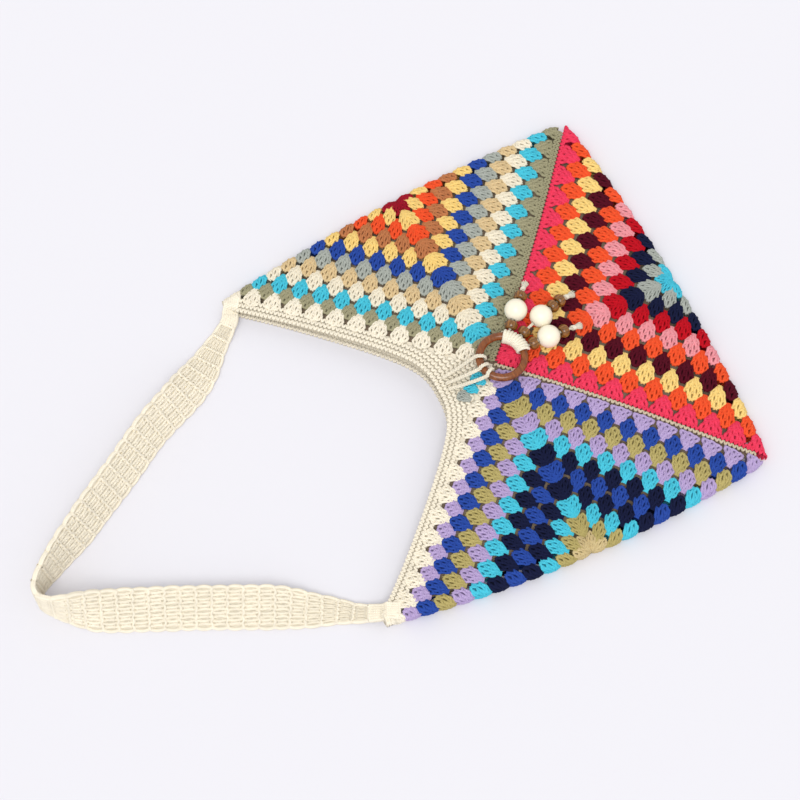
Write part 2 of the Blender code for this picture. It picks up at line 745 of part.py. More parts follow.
def build_loops(parts):
    """Yarn loops from the mouth's point, over the ring's rim, down through it and back underneath."""
    centre = ring_centre()
    away = RING_SECTION + YARN_RADIUS + 2 * CLEARANCE
    for name, (start, turn_deg) in LOOPS.items():
        turn = math.radians(turn_deg)
        out = Vector((math.sin(turn), math.cos(turn), 0))
        rim = centre + out * RING_RADIUS
        band_top = skin(start, band_edge(start) - LOOP_INSET, FRONT, TOP_LIFT)
        band_top.z += YARN_RADIUS + CLEARANCE
        arch = (band_top + rim + out * away) / 2
        arch.z = band_top.z + LOOP_ARCH
        route = [band_top, arch]
        for degrees in LOOP_TURNS_DEG:
            swing = math.radians(degrees)
            route.append(rim + out * away * math.cos(swing) + Vector((0, 0, away * math.sin(swing))))
        tube(name, route, LOOP_STEP, parts)


def cream_profile():
    """Half the outline of a round bead with a bore, from its top down its outer side."""
    start = math.asin(BORE_RADIUS / CREAM_BEAD_RADIUS)
    angles = [start + (math.pi - 2 * start) * i / CREAM_BEAD_STEPS for i in range(CREAM_BEAD_STEPS + 1)]
    return [(CREAM_BEAD_RADIUS * math.sin(a), CREAM_BEAD_RADIUS * math.cos(a)) for a in angles]


def brown_profile():
    """Half the outline of a flattened bead, with a flat rim round each end of its bore."""
    rim, half = BORE_RADIUS + BROWN_BEAD_RIM, BROWN_BEAD_LENGTH / 2
    angles = [math.pi * i / BROWN_BEAD_STEPS for i in range(BROWN_BEAD_STEPS + 1)]
    side = [(rim + (BROWN_BEAD_RADIUS - rim) * math.sin(a), half * math.cos(a)) for a in angles]
    return side + [(BORE_RADIUS, -half), (BORE_RADIUS, half)]


def build_bead(name, kind, place, axis, parts):
    outline, colour, roughness, turns = {
        "cream": (cream_profile(), BEAD_CREAM, 0.35, CREAM_BEAD_SIDES),
        "brown": (brown_profile(), BEAD_BROWN, 0.22, BROWN_BEAD_SIDES),
    }[kind]
    mesh = bpy.data.meshes.new(name)
    count = len(outline)
    mesh.from_pydata([(r, 0.0, z) for r, z in outline], [(i, (i + 1) % count) for i in range(count)], [])
    bead = add_object(name, mesh, parts, material(f"{kind}_bead", colour, roughness))
    turned = bead.modifiers.new("turned", "SCREW")
    turned.steps = turned.render_steps = turns
    turned.use_merge_vertices = True
    turned.merge_threshold = 0.00001
    turned.use_smooth_shade = True
    bead.location = place
    bead.rotation_mode = "QUATERNION"
    bead.rotation_quaternion = axis.to_track_quat("Z", "Y")


def strand_places(beads):
    """Where a strand leaves the ring's wrap, and the middle of each of its beads and the end of its tail."""
    x, y = RING_PLACE
    before = RING_RADIUS + WRAP_BORE + WRAP_THICKNESS + CLEARANCE
    places = []
    for kind, heading_deg, gap, drop in [("start", beads[0][1], 0.0, 0.0), *beads]:
        half = {"cream": CREAM_BEAD_RADIUS, "brown": BROWN_BEAD_LENGTH / 2}.get(kind, 0.0)
        heading = math.radians(heading_deg)
        x += math.sin(heading) * (before + gap + half)
        y -= math.cos(heading) * (before + gap + half)
        level = {"start": RING_HEIGHT, "tail": TAIL_RADIUS + CLEARANCE}.get(kind, CREAM_BEAD_RADIUS + CLEARANCE)
        places.append(above_cloth(x, y, level - drop))
        before = half
    return places


def build_strands(parts):
    """Each strand runs straight through the bores of its beads and bends a little between them."""
    for name, beads in STRANDS.items():
        places = strand_places(beads)
        route = [places[0]]
        for i, (kind, *_) in enumerate(beads[:-1], start=1):
            axis = (places[i + 1] - places[i - 1]).normalized()
            half = CREAM_BEAD_RADIUS if kind == "cream" else BROWN_BEAD_LENGTH / 2
            route += [places[i] - axis * half, places[i] + axis * half]
            short = name.replace("bead_cord", "bead")
            build_bead(f"{kind}_{short}_{i}", kind, places[i], axis, parts)
        route.append(places[-1])
        tube(name, route, CORD_STEP, parts, tail_swell)


def tail_swell(share):
    """The cord's end: a knot and a flared tail."""
    if share < KNOT_FROM:
        return 1.0
    full = TAIL_RADIUS / YARN_RADIUS
    if share < TAIL_FROM:
        return 1.0 + (full * KNOT_SHARE - 1.0) * (share - KNOT_FROM) / (TAIL_FROM - KNOT_FROM)
    return full * (KNOT_SHARE + (1 - KNOT_SHARE) * (share - TAIL_FROM) / (1 - TAIL_FROM))


def stand_on_table(parts):
    """Moves the bag so that the origin is on the table, under the middle of its outline."""
    bpy.context.view_layer.update()
    corners = [made.matrix_world @ Vector(c) for made in parts.objects for c in made.bound_box]
    middle = [(min(c[k] for c in corners) + max(c[k] for c in corners)) / 2 for k in (0, 1)]
    for made in parts.objects:
        made.location.x -= middle[0]
        made.location.y -= middle[1]


def main():
    parts = start_scene()
    build_squares(parts)
    build_seams(parts)
    build_band(parts)
    build_lining(parts)
    build_strap(parts)
    build_ring(parts)
    build_wrap(parts)
    build_loops(parts)
    build_strands(parts)
    stand_on_table(parts)


main()
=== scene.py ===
"""The looks of the crocheted shoulder bag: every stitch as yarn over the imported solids, in the photo's light.

The sizes are those of the part, so each stitch lies on the solid that it stands for. Metres, +Z up.
"""

import functools
import math

import bpy
import numpy as np
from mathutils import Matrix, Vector


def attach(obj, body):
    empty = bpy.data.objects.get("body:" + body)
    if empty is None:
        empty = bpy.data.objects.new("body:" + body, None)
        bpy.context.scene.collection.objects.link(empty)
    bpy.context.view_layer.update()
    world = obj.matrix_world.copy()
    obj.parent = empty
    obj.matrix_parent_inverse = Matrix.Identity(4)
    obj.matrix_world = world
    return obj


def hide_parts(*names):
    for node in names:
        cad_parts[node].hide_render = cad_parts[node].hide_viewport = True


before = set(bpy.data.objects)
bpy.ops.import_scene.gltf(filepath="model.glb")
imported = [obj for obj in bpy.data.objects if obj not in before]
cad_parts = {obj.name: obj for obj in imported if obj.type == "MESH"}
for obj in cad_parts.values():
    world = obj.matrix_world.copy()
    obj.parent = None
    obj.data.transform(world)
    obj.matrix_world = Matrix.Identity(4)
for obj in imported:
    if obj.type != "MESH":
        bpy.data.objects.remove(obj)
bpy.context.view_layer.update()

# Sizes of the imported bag, as in the part. The stitches follow them.
MOUTH_POINT = (-0.003624, -0.124926)
HALF_SIDE = 0.177
SIDE_TAPER = 0.0095
EDGE_BULGE = 0.011
BOTTOM_LEAN = 0.007
FOLD_RADIUS = 0.005
CLOTH = 0.0044
PUFF = 0.009
CLEARANCE = 0.0004
STITCH_CROWN = 0.0016
OLIVE_EDGING = 0.0050
TAUPE_EDGING = 0.0034
BAND_RISE = 0.017
BAND_ROUNDING = 0.037
BAND_BLUNTNESS = 3
BAND_TIP = 0.008
LINING_INSET = 0.012
LINING_BELOW_BAND = 0.006
STRAP_THICKNESS = 0.0034
STRAP_WIDTH = 0.038
STRAP_END_WIDTH = 0.013
STRAP_INSET = 0.012
STRAP_TUCK = 0.001
STRAP_WIDENING = 0.165
STRAP_ROW = 0.0131
STRAP_ROW_RELIEF = 0.0007
STRAP_CLIMB = 0.0328
RING_RADIUS = 0.0199
RING_SECTION = 0.0035
RING_PLACE = (0.0002, -0.0100)
WRAP_FROM_DEG = 258.0
WRAP_TO_DEG = 334.0
YARN_RADIUS = 0.0013
WRAP_BORE = RING_SECTION / math.cos(math.pi / 8) + CLEARANCE
WRAP_THICKNESS = 0.0016
RING_HEIGHT = 3 * CLEARANCE + 2 * YARN_RADIUS + RING_SECTION
CREAM_BEAD_RADIUS = 0.0102
BROWN_BEAD_RADIUS = 0.0060
BROWN_BEAD_LENGTH = 0.0078
BORE_RADIUS = 0.0020
TAIL_RADIUS = 0.0042
LOOP_INSET = 0.008
LOOP_ARCH = 0.0040
QUARTER_TURN = FOLD_RADIUS * math.pi / 2
FLAT_HALF = HALF_SIDE + QUARTER_TURN - FOLD_RADIUS
BACK_MIDDLE = CLOTH / 2
FOLD_MIDDLE = BACK_MIDDLE + FOLD_RADIUS
TOP_LIFT = CLOTH / 2
STRAP_SEAT = FOLD_MIDDLE + FOLD_RADIUS - TOP_LIFT - CLEARANCE - (STRAP_THICKNESS + STRAP_ROW_RELIEF) / 2
CORNER = math.sqrt(2)
FRONT, BACK = 1, -1

# The middle of the strap, in half sides from the mouth's point, and its roll in degrees
STRAP_ROUTE = [
    (0.845, 1.052, 0),
    (0.790, 1.120, 2),
    (0.749, 1.178, 6),
    (0.697, 1.239, 12),
    (0.646, 1.300, 22),
    (0.591, 1.381, 34),
    (0.542, 1.466, 45),
    (0.451, 1.651, 52),
    (0.318, 1.860, 54),
    (0.191, 2.072, 56),
    (0.125, 2.173, 60),
    (0.063, 2.281, 68),
    (0.002, 2.376, 78),
    (-0.042, 2.440, 86),
    (-0.088, 2.476, 90),
    (-0.135, 2.472, 92),
    (-0.175, 2.438, 96),
    (-0.210, 2.390, 106),
    (-0.247, 2.323, 122),
    (-0.287, 2.239, 142),
    (-0.340, 2.109, 153),
    (-0.455, 1.848, 158),
    (-0.592, 1.560, 160),
    (-0.649, 1.445, 164),
    (-0.712, 1.336, 170),
    (-0.772, 1.222, 176),
    (-0.832, 1.131, 180),
]

# Where each loop leaves the band, and where it goes round the ring, in degrees from +Y towards +X
LOOPS = {
    "ring_loop_right": (0.0070, 22.0),
    "ring_loop_middle": (0.0012, -6.0),
    "ring_loop_left": (-0.0046, -28.0),
}

# Of each bead: its kind, the way to it in degrees from -Y towards +X, the gap before it, and how far it lies
# below the middles of the cream beads. The last is the cord's end.
STRANDS = {
    "bead_cord_left": [
        ("brown", -1.5, 0.0008, 0.0020),
        ("cream", -3.1, 0.0005, 0.0),
        ("brown", -3.5, 0.0005, 0.0006),
        ("tail", 2.5, 0.0141, 0.0),
    ],
    "bead_cord_middle": [
        ("brown", 23.3, 0.0011, 0.0022),
        ("cream", 18.0, 0.0069, 0.0),
        ("brown", 17.4, 0.0006, 0.0002),
        ("brown", 16.7, 0.0006, 0.0008),
        ("tail", 11.4, 0.0123, 0.0),
    ],
    "bead_cord_right": [
        ("brown", 47.6, 0.0013, 0.0020),
        ("cream", 46.7, 0.0006, 0.0),
        ("brown", 46.4, 0.0005, 0.0006),
        ("tail", 46.7, 0.0132, 0.0),
    ],
}

# Yarn colours, as the screen shows them. "strap" is the yarn of the strap, the band and the loops.
YARNS = {
    "darkred": (170, 28, 48),
    "yellow": (255, 221, 138),
    "orange": (250, 92, 50),
    "brown": (198, 128, 84),
    "blue": (46, 80, 172),
    "grey": (178, 184, 178),
    "tan": (230, 204, 158),
    "cream": (250, 241, 220),
    "cyan": (80, 206, 232),
    "olive": (166, 162, 132),
    "navy": (24, 30, 64),
    "red": (200, 18, 36),
    "pink": (246, 160, 170),
    "maroon": (88, 14, 34),
    "coral": (244, 66, 100),
    "khaki": (190, 176, 114),
    "lavender": (190, 170, 218),
    "sand": (218, 198, 150),
    "taupe": (214, 200, 174),
    "white": (252, 246, 228),
    "strap": (255, 247, 229),
}

# Of each square: the edge of the bag that it is folded over, its edging's width, and its rounds, inside out
SQUARES = {
    "olive_square": {
        "edge": "right",
        "edging": OLIVE_EDGING,
        "rounds": "darkred yellow orange brown yellow blue grey tan cream cyan olive".split(),
    },
    "coral_square": {
        "edge": "bottom",
        "edging": TAUPE_EDGING,
        "rounds": "cyan grey navy red pink orange maroon yellow orange coral".split(),
    },
    "lavender_square": {
        "edge": "left",
        "edging": TAUPE_EDGING,
        "rounds": "sand khaki cyan navy blue navy cyan lavender khaki blue lavender".split(),
    },
}


def uneven(number):
    """A fixed value from 0 to 1 that looks irregular from one number to the next."""
    value = np.sin(np.asarray(number, float) * 12.9898) * 43758.5453
    return value - np.floor(value)


def eased(value):
    """From 0 to 1, slowly at both ends."""
    value = np.clip(value, 0, 1)
    return value * value * (3 - 2 * value)


def unit(vectors):
    """Vectors brought to length 1."""
    return vectors / np.linalg.norm(vectors, axis=-1, keepdims=True)


def run_of(points):
    """How far along its line each point lies."""
    steps = np.linalg.norm(np.diff(points[:, :3], axis=0), axis=1)
    return np.concatenate([[0.0], np.cumsum(steps)])


def points_at(want, run, line):
    """The points of a line that lie this far along it."""
    return np.stack([np.interp(want, run, column) for column in line.T], 1)


def crossed(first, second):
    """Each value of the first with each value of the second."""
    both = np.meshgrid(first, second, indexing="ij")
    return both[0].ravel(), both[1].ravel()


def linked(name, data):
    """A new object in the scene."""
    made = bpy.data.objects.new(name, data)
    bpy.context.scene.collection.objects.link(made)
    return made


# Camera and light

CAMERA_AZIMUTH_DEG = -116.3
CAMERA_ELEVATION_DEG = 67.0
CAMERA_DISTANCE = 1.8
CAMERA_LENS = 91.5
CAMERA_NEAR = 0.05
LOOK_AT = (0.0152, 0.0822)  # the picture's middle on the table, from the mouth's point

SKY_COLOUR = (1.0, 0.985, 0.955, 1.0)
SKY_STRENGTH = 0.78
SUN_COLOUR = (1.0, 0.985, 0.96)
SUN_STRENGTH = 1.45
SUN_WIDTH_DEG = 38
SUN_WAY = (0.42, -0.30, -1.0)

FLOOR_SIZE = 12
FLOOR_COLOUR = (0.72, 0.725, 0.775, 1.0)
FLOOR_GLOW = (0.06, 0.055, 0.075, 1.0)
FLOOR_ROUGHNESS = 0.9


def place_camera():
    """Above the bag, turned so that the strap is at the left as in the photo."""
    azimuth, elevation = math.radians(CAMERA_AZIMUTH_DEG), math.radians(CAMERA_ELEVATION_DEG)
    flat = math.cos(elevation)
    back = Vector((math.sin(azimuth) * flat, -math.cos(azimuth) * flat, math.sin(elevation)))
    data = bpy.data.cameras.new("camera")
    camera = linked("camera", data)
    target = Vector((MOUTH_POINT[0] + LOOK_AT[0], MOUTH_POINT[1] + LOOK_AT[1], 0.0))
    camera.location = target + back * CAMERA_DISTANCE
    camera.rotation_mode = "QUATERNION"
    camera.rotation_quaternion = (-back).to_track_quat("-Z", "Y")
    data.lens = CAMERA_LENS
    data.clip_start = CAMERA_NEAR
    bpy.context.scene.camera = camera
    bpy.context.scene.view_settings.view_transform = "Standard"


def place_lights():
    """A pale sky all round, and one broad window."""
    world = bpy.data.worlds.new("studio")
    world.use_nodes = True
    bpy.context.scene.world = world
    shade = world.node_tree.nodes["Background"]
    shade.inputs["Color"].default_value = SKY_COLOUR
    shade.inputs["Strength"].default_value = SKY_STRENGTH
    sun = bpy.data.lights.new("window", "SUN")
    sun.energy = SUN_STRENGTH
    sun.angle = math.radians(SUN_WIDTH_DEG)
    sun.color = SUN_COLOUR
    window = linked("window", sun)
    window.rotation_mode = "QUATERNION"
    window.rotation_quaternion = Vector(SUN_WAY).to_track_quat("-Z", "Y")


def place_floor():
    """The pale paper that the bag lies on."""
    bpy.ops.mesh.primitive_plane_add(size=FLOOR_SIZE, location=(0, 0, 0))
    floor = bpy.context.object
    floor.name = "floor"
    paper = Shader("floor_paper", FLOOR_COLOUR, FLOOR_ROUGHNESS)
    paper.set(emission_color=FLOOR_GLOW, emission_strength=1.0)
    floor.data.materials.append(paper.material)


# Materials


class Wire:
    """A shader value that takes part in arithmetic."""

    def __init__(self, tree, socket):
        self.tree = tree
        self.socket = socket

    def math(self, operation, *others):
        node = self.tree.nodes.new("ShaderNodeMath")
        node.operation = operation
        for slot, value in zip(node.inputs, (self, *others)):
            plug(self.tree, slot, value)
        return Wire(self.tree, node.outputs[0])

    def __add__(self, other):
        return self.math("ADD", other)

    def __mul__(self, other):
        return self.math("MULTIPLY", other)

    def __sub__(self, other):
        return self.math("SUBTRACT", other)

    def __rsub__(self, other):
        return self.math("MULTIPLY_ADD", -1.0, other)

    __radd__ = __add__
    __rmul__ = __mul__


def plug(tree, slot, value):
    """Sets a socket to a value or links it to a wire."""
    if isinstance(value, Wire):
        tree.links.new(value.socket, slot)
    else:
        slot.default_value = value


class Shader:
    """A material on one Principled shader, and the nodes that vary it."""

    def __init__(self, name, colour, roughness):
        self.material = bpy.data.materials.new(name)
        self.material.use_nodes = True
        self.tree = self.material.node_tree
        self.surface = self.tree.nodes["Principled BSDF"]
        self.set(base_color=colour, roughness=roughness)

    def set(self, **inputs):
        """Sets or links the surface's sockets, named in lower case with underscores."""
        for name, value in inputs.items():
            label = name.replace("_", " ").title().replace("Ior", "IOR")
            plug(self.tree, self.surface.inputs[label], value)

    def node(self, kind, output, sockets=(), settings=()):
        """A new node's output as a wire. Its settings are set first, then its sockets by name or number."""
        made = self.tree.nodes.new("ShaderNode" + kind)
        for name, value in dict(settings).items():
            setattr(made, name, value)
        for key, value in dict(sockets).items():
            plug(self.tree, made.inputs[key], value)
        return Wire(self.tree, made.outputs[output])

    def mixed(self, factor, first, second, way="MIX"):
        """Two colours mixed. Sockets of this node share their names, so they go by number."""
        settings = {"data_type": "RGBA", "blend_type": way}
        return self.node("Mix", 2, {0: factor, 6: first, 7: second}, settings)

    def noise(self, scale):
        """Even noise over the object's own space."""
        return self.node("TexNoise", "Fac", {"Vector": self.node("TexCoord", "Object"), "Scale": scale})

    def grain(self, scales):
        """Noise drawn out along the object's own axes, as in wood."""
        place = self.node("Mapping", "Vector", {"Vector": self.node("TexCoord", "Object"), "Scale": scales})
        return self.node("TexNoise", "Fac", {"Vector": place, "Scale": 1.0, "Detail": 3.0})

    def bump(self, height, distance):
        self.set(normal=self.node("Bump", "Normal", {"Height": height, "Distance": distance}))


def paint(screen_colour):
    """A colour in linear light, from screen values of 0 to 255."""
    shares = [value / 255 for value in screen_colour]
    return (*(s / 12.92 if s <= 0.04045 else ((s + 0.055) / 1.055) ** 2.4 for s in shares), 1.0)


PLIES = 3.0  # seen round a yarn
PLY_TURNS = 2.2  # for each of the yarn's widths along it
FUZZ_SCALE = 2600.0
MOTTLE_SCALE = 160.0
COTTON_RELIEF = 0.00035


@functools.cache
def cotton(name):
    """Matt cotton of a named yarn: plies wound round it, with painted shade in the grooves between them, slight
    mottling, and painted shade deep inside the stitches.
    """
    colour = paint(YARNS[name])
    yarn = Shader(f"cotton_{name}", colour, 0.92)
    turns = {"Vector": yarn.node("UVMap", "UV")}
    around, along = (yarn.node("SeparateXYZ", axis, turns) for axis in "XY")
    ply_relief_and_shade = ((around * PLIES + along * PLY_TURNS) * (2 * math.pi)).math("SINE") * 0.5 + 0.5
    fuzz = yarn.noise(FUZZ_SCALE)
    mottle = yarn.noise(MOTTLE_SCALE)
    painted_shade = yarn.node("Attribute", "Fac", settings={"attribute_name": "painted_shade"})
    # Painted shade: the colour is darkened in the grooves between the plies and deep inside the stitches; the
    # mottling is the cotton's own uneven tone.
    light = (ply_relief_and_shade * 0.16 + 0.90) * (mottle * 0.22 + 0.89) * (1.0 - painted_shade * 0.62)
    shade = yarn.node("CombineColor", "Color", {"Red": light, "Green": light, "Blue": light})
    yarn.set(base_color=yarn.mixed(1.0, colour, shade, "MULTIPLY"))
    yarn.set(specular_ior_level=0.12)
    yarn.bump(ply_relief_and_shade * 0.7 + fuzz * 0.5, COTTON_RELIEF)
    return yarn.material


# Yarn as meshes

SIDES = 5  # of a yarn's section
PAD_COLUMNS = 6
REST = 0.0012  # yarn this close to the table is pressed flat


def rested(heights):
    """Yarn flattens where the bag lies on it, and none of it reaches the table."""
    return np.where(heights < REST, REST * np.exp(heights / REST - 1), heights)


def drawn_in(count, radius, end_share=0.35):
    """A yarn's radius at each point along it, drawn in at both ends."""
    from_end = np.minimum(np.arange(count), np.arange(count)[::-1])
    return radius * np.clip(end_share + (1 - end_share) * from_end, 0, 1)


def show(made, slot, *stands_for):
    """Makes an object a piece of the bag, in place of the named solids."""
    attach(made, "root")
    if stands_for:
        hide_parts(*stands_for)
    return made


class Yarns:
    """Tubes of yarn, gathered to be set on the cloth or made into a piece.

    A point's painted shade is 0 in plain sight and 1 deep inside a stitch, where its colour is darkened as
    painted shade.
    The turns of a face's corners are their way round the yarn and along it, in widths of the yarn.
    """

    def __init__(self):
        self.points, self.faces, self.turns, self.painted_shades = [], [], [], []
        self.count = 0

    def add(self, points, faces, turns, painted_shades):
        self.points.append(points)
        self.faces.append(faces + self.count)
        self.turns.append(turns)
        self.painted_shades.append(painted_shades)
        self.count += len(points)

    def arrays(self):
        gathered = (self.points, self.faces, self.turns, self.painted_shades)
        return [np.concatenate(part) for part in gathered]

    def tube(self, path, radius):
        """One yarn along a path."""
        path = np.asarray(path, float)
        radius = np.broadcast_to(radius, len(path))
        ahead = unit(np.gradient(path, axis=0))
        side = np.cross(ahead[0], (0.0, 0.0, 1.0) if abs(ahead[0, 2]) < 0.9 else (1.0, 0.0, 0.0))
        angles = 2 * math.pi * np.arange(SIDES) / SIDES
        rings = []
        for here, way, size in zip(path, ahead, radius):
            side = unit(side - way * (side @ way))
            up = np.cross(side, way)
            rings.append(here + size * (np.outer(np.cos(angles), side) + np.outer(np.sin(angles), up)))
        points = np.concatenate(rings)
        run = run_of(path) / (2 * radius.mean())
        i, j = crossed(np.arange(len(path) - 1), np.arange(SIDES))
        k = (j + 1) % SIDES
        faces = np.stack([i * SIDES + j, i * SIDES + k, (i + 1) * SIDES + k, (i + 1) * SIDES + j], 1)
        turns = np.stack([j, run[i], j + 1, run[i], j + 1, run[i + 1], j, run[i + 1]], 1).reshape(-1, 4, 2)
        turns[:, :, 0] /= SIDES
        self.add(points, faces, turns, np.zeros(len(points)))

    def pad(self, half, along, height, painted_shade):
        """A puffed filling inside a stitch, darkened by the given amount of painted shade: rows across it, each
        with its half width, place and height.
        """
        across, ones = np.linspace(-1, 1, PAD_COLUMNS), np.ones(PAD_COLUMNS)
        x, y, z = np.outer(half, across), np.outer(along, ones), np.outer(height, 1 - 0.6 * across**2)
        self.grid(np.stack([x, y, z], 2).reshape(-1, 3), len(half), PAD_COLUMNS, painted_shade)

    def grid(self, points, rows, columns, painted_shade):
        """A sheet through rows of points, darkened by the given amount of painted shade."""
        i, j = crossed(np.arange(rows - 1), np.arange(columns - 1))
        here, next_row = i * columns + j, (i + 1) * columns + j
        faces = np.stack([here, here + 1, next_row + 1, next_row], 1)
        self.add(points, faces, np.zeros((len(faces), 4, 2)), np.full(len(points), painted_shade))

    def copies(self, stitch, places, surface):
        """Sets a stitch at each place on a surface. A place is its foot, head, and width as a share."""
        points, faces, turns, painted_shades = stitch.arrays()
        places = np.asarray(places, float)
        foot, head, width = places[:, 0:2], places[:, 2:4], places[:, 4]
        way = head - foot
        length = np.linalg.norm(way, axis=1)
        way = way / length[:, None]
        x = points[None, :, 0] * width[:, None]
        y = points[None, :, 1] * (length / STITCH_LENGTH)[:, None]
        s = foot[:, 0:1] + way[:, 0:1] * y + way[:, 1:2] * x
        t = foot[:, 1:2] + way[:, 1:2] * y - way[:, 0:1] * x
        lift = np.broadcast_to(points[None, :, 2], s.shape)
        laid = surface(s.ravel(), t.ravel(), lift.ravel())
        number = len(places)
        offsets = np.arange(number) * len(points)
        all_faces = (faces[None] + offsets[:, None, None]).reshape(-1, 4)
        all_turns = np.tile(turns, (number, 1, 1))
        all_turns[:, :, 1] *= np.repeat(length / STITCH_LENGTH, len(turns))[:, None]
        self.add(laid, all_faces, all_turns, np.tile(painted_shades, number))

    def piece(self, name, finish, slot, *stands_for):
        """The gathered yarn as a mesh of the bag, in place of the named solids."""
        points, faces, turns, painted_shades = self.arrays()
        points[:, 2] = rested(points[:, 2])
        mesh = bpy.data.meshes.new(name)
        mesh.vertices.add(len(points))
        mesh.vertices.foreach_set("co", points.ravel())
        mesh.loops.add(faces.size)
        mesh.loops.foreach_set("vertex_index", faces.ravel().astype(np.int32))
        mesh.polygons.add(len(faces))
        mesh.polygons.foreach_set("loop_start", np.arange(0, faces.size, 4, dtype=np.int32))
        mesh.update(calc_edges=True)
        layer = mesh.uv_layers.new(name="turns")
        layer.data.foreach_set("uv", turns.ravel())
        # Each point's amount of painted shade, which darkens the yarn's colour.
        painted_shade_layer = mesh.attributes.new("painted_shade", "FLOAT", "POINT")
        painted_shade_layer.data.foreach_set("value", painted_shades)
        mesh.shade_smooth()
        mesh.materials.append(finish)
        return show(linked(name, mesh), slot, *stands_for)


# The folded cloth, as in the part


def shape_of_bag(across, along):
    """A place of the flat bag, from the mouth's point, with the bag's taper, bowed edges and lean."""
    x, y = across / HALF_SIDE, along / HALF_SIDE
    bow_side = EDGE_BULGE * x**3 * np.maximum(1 - y * y, 0)
    bow_bottom = EDGE_BULGE * ((1 - y) / 2) ** 2 * np.maximum(1 - x * x, 0)
    lean = BOTTOM_LEAN * ((1 - y) / 2) ** 2
    return across - SIDE_TAPER * y * x + bow_side + lean + MOUTH_POINT[0], along - bow_bottom + MOUTH_POINT[1]


def puffed(across, along):
    """How much higher the front lies than at its edges."""
    x, y = across / HALF_SIDE, along / HALF_SIDE
    return PUFF * np.maximum(1 - x * x, 0) * np.maximum(1 - y * y, 0)


def front_level(across, along):
    """Height of the middle of the front's cloth."""
    return FOLD_MIDDLE + FOLD_RADIUS + puffed(across, along)


def run_in(distance):
    """How far in from the bag's edge a point lies that is this far round the fold."""
    turning = FOLD_RADIUS * (1 - np.cos(np.clip(distance, 0, QUARTER_TURN) / FOLD_RADIUS))
    return np.minimum(distance, 0) + turning + np.maximum(distance - QUARTER_TURN, 0)


def run_out(distance):
    """How far round the fold a point is that lies this far in from the bag's edge."""
    turning = FOLD_RADIUS * np.arccos(1 - np.clip(distance, 0, FOLD_RADIUS) / FOLD_RADIUS)
    return np.minimum(distance, 0) + turning + np.maximum(distance - FOLD_RADIUS, 0)


def pressed(lift, front_share):
    """Stitches lie flatter in the back, where the bag rests on them."""
    return lift * (0.55 + 0.45 * front_share)


def folded(edge, along_fold, from_fold, lift):
    """A point of a square: along its folded diagonal and away from it, which is negative in the back."""
    angle = np.clip(from_fold / FOLD_RADIUS, -math.pi / 2, math.pi / 2)
    lift = pressed(lift, 0.5 + 0.5 * np.sin(angle))
    reach = HALF_SIDE - run_in(np.abs(from_fold)) + lift * np.cos(angle)
    run = np.sign(along_fold) * (HALF_SIDE - run_in(FLAT_HALF - np.abs(along_fold)))
    across, along = {"right": (reach, run), "bottom": (run, -reach), "left": (-reach, run)}[edge]
    x, y = shape_of_bag(across, along)
    puff = puffed(across, along) * np.maximum(np.sin(angle), 0)
    return np.stack([x, y, FOLD_MIDDLE + (FOLD_RADIUS + lift) * np.sin(angle) + puff], 1)


def square_surface(edge, hand, side):
    """The surface of one leg of a square: s along the leg from its middle, t out from the square's centre."""
    return lambda s, t, lift: folded(edge, hand * (t - s) / CORNER, side * (t + s) / CORNER, lift)


SEAM_RISE = 0.0007  # of the front's seams over the cloth


def seam_surface(hand, side):
    """The surface along a lower diagonal: s out from the mouth's point, t across the seam."""

    def laid(s, t, lift):
        across, along = hand * (s + t / CORNER), t / CORNER - s
        x, y = shape_of_bag(across, along)
        if side == BACK:
            return np.stack([x, y, BACK_MIDDLE - pressed(lift, 0.0)], 1)
        return np.stack([x, y, front_level(across, along) + lift + SEAM_RISE], 1)

    return laid


def band_edge(across):
    """The mouth's edge, along Y from the mouth's point."""
    raised = np.abs(across) ** BAND_BLUNTNESS + BAND_ROUNDING**BAND_BLUNTNESS
    return raised ** (1 / BAND_BLUNTNESS) + BAND_RISE


def pitch_of(square):
    """Width of one round."""
    return (FLAT_HALF / CORNER - square["edging"]) / len(square["rounds"])


def rim_of(square):
    """From a square's centre, straight to the outer edge of its last round."""
    return pitch_of(square) * len(square["rounds"])


def outline_surface(x, y, side, lift):
    """A point of the front or the back over a place of the bag's outline, from the mouth's point."""
    along = np.minimum(FLAT_HALF - run_out(HALF_SIDE - y), FLAT_HALF + BAND_TIP)
    away = side * run_out(np.maximum(HALF_SIDE - np.abs(x), 0))
    right, left = (folded(edge, along, away, lift) for edge in ("right", "left"))
    return np.where((x > 0)[:, None], right, left)


# The mouth's edge as points, the run along it from its middle, and its direction
MOUTH_X = np.linspace(-HALF_SIDE, HALF_SIDE, 601)
MOUTH_LINE = np.stack([MOUTH_X, band_edge(MOUTH_X)], 1)
MOUTH_HALF = run_of(MOUTH_LINE)[-1] / 2
MOUTH_RUN = run_of(MOUTH_LINE) - MOUTH_HALF
MOUTH_WAY = np.gradient(MOUTH_LINE, MOUTH_RUN, axis=0)


def under_mouth(s, t):
    """The place over the outline at s along the mouth's edge from its middle, and t in from it."""
    x, y = points_at(s, MOUTH_RUN, MOUTH_LINE).T
    way_x, way_y = points_at(s, MOUTH_RUN, MOUTH_WAY).T
    return x + way_y * t, y - way_x * t


def mouth_surface(side):
    """The band's surface: s along the mouth's edge from its middle, t in from it."""
    return lambda s, t, lift: outline_surface(*under_mouth(s, t), side, lift)


# Stitches, each made standing on its foot and then set in its place

STITCH_LENGTH = 0.0170
CLUSTER_HALF = 0.0083
CLUSTER_YARN = 0.00134
CROSSING_YARN = 0.00105
HEAD_YARN = 0.00125
LOW_YARN = 0.00120
POST_YARN = 0.00145
SLANTED_YARN = 0.0010
LINKS = 2.5  # swings of a cluster's yarn from foot to head


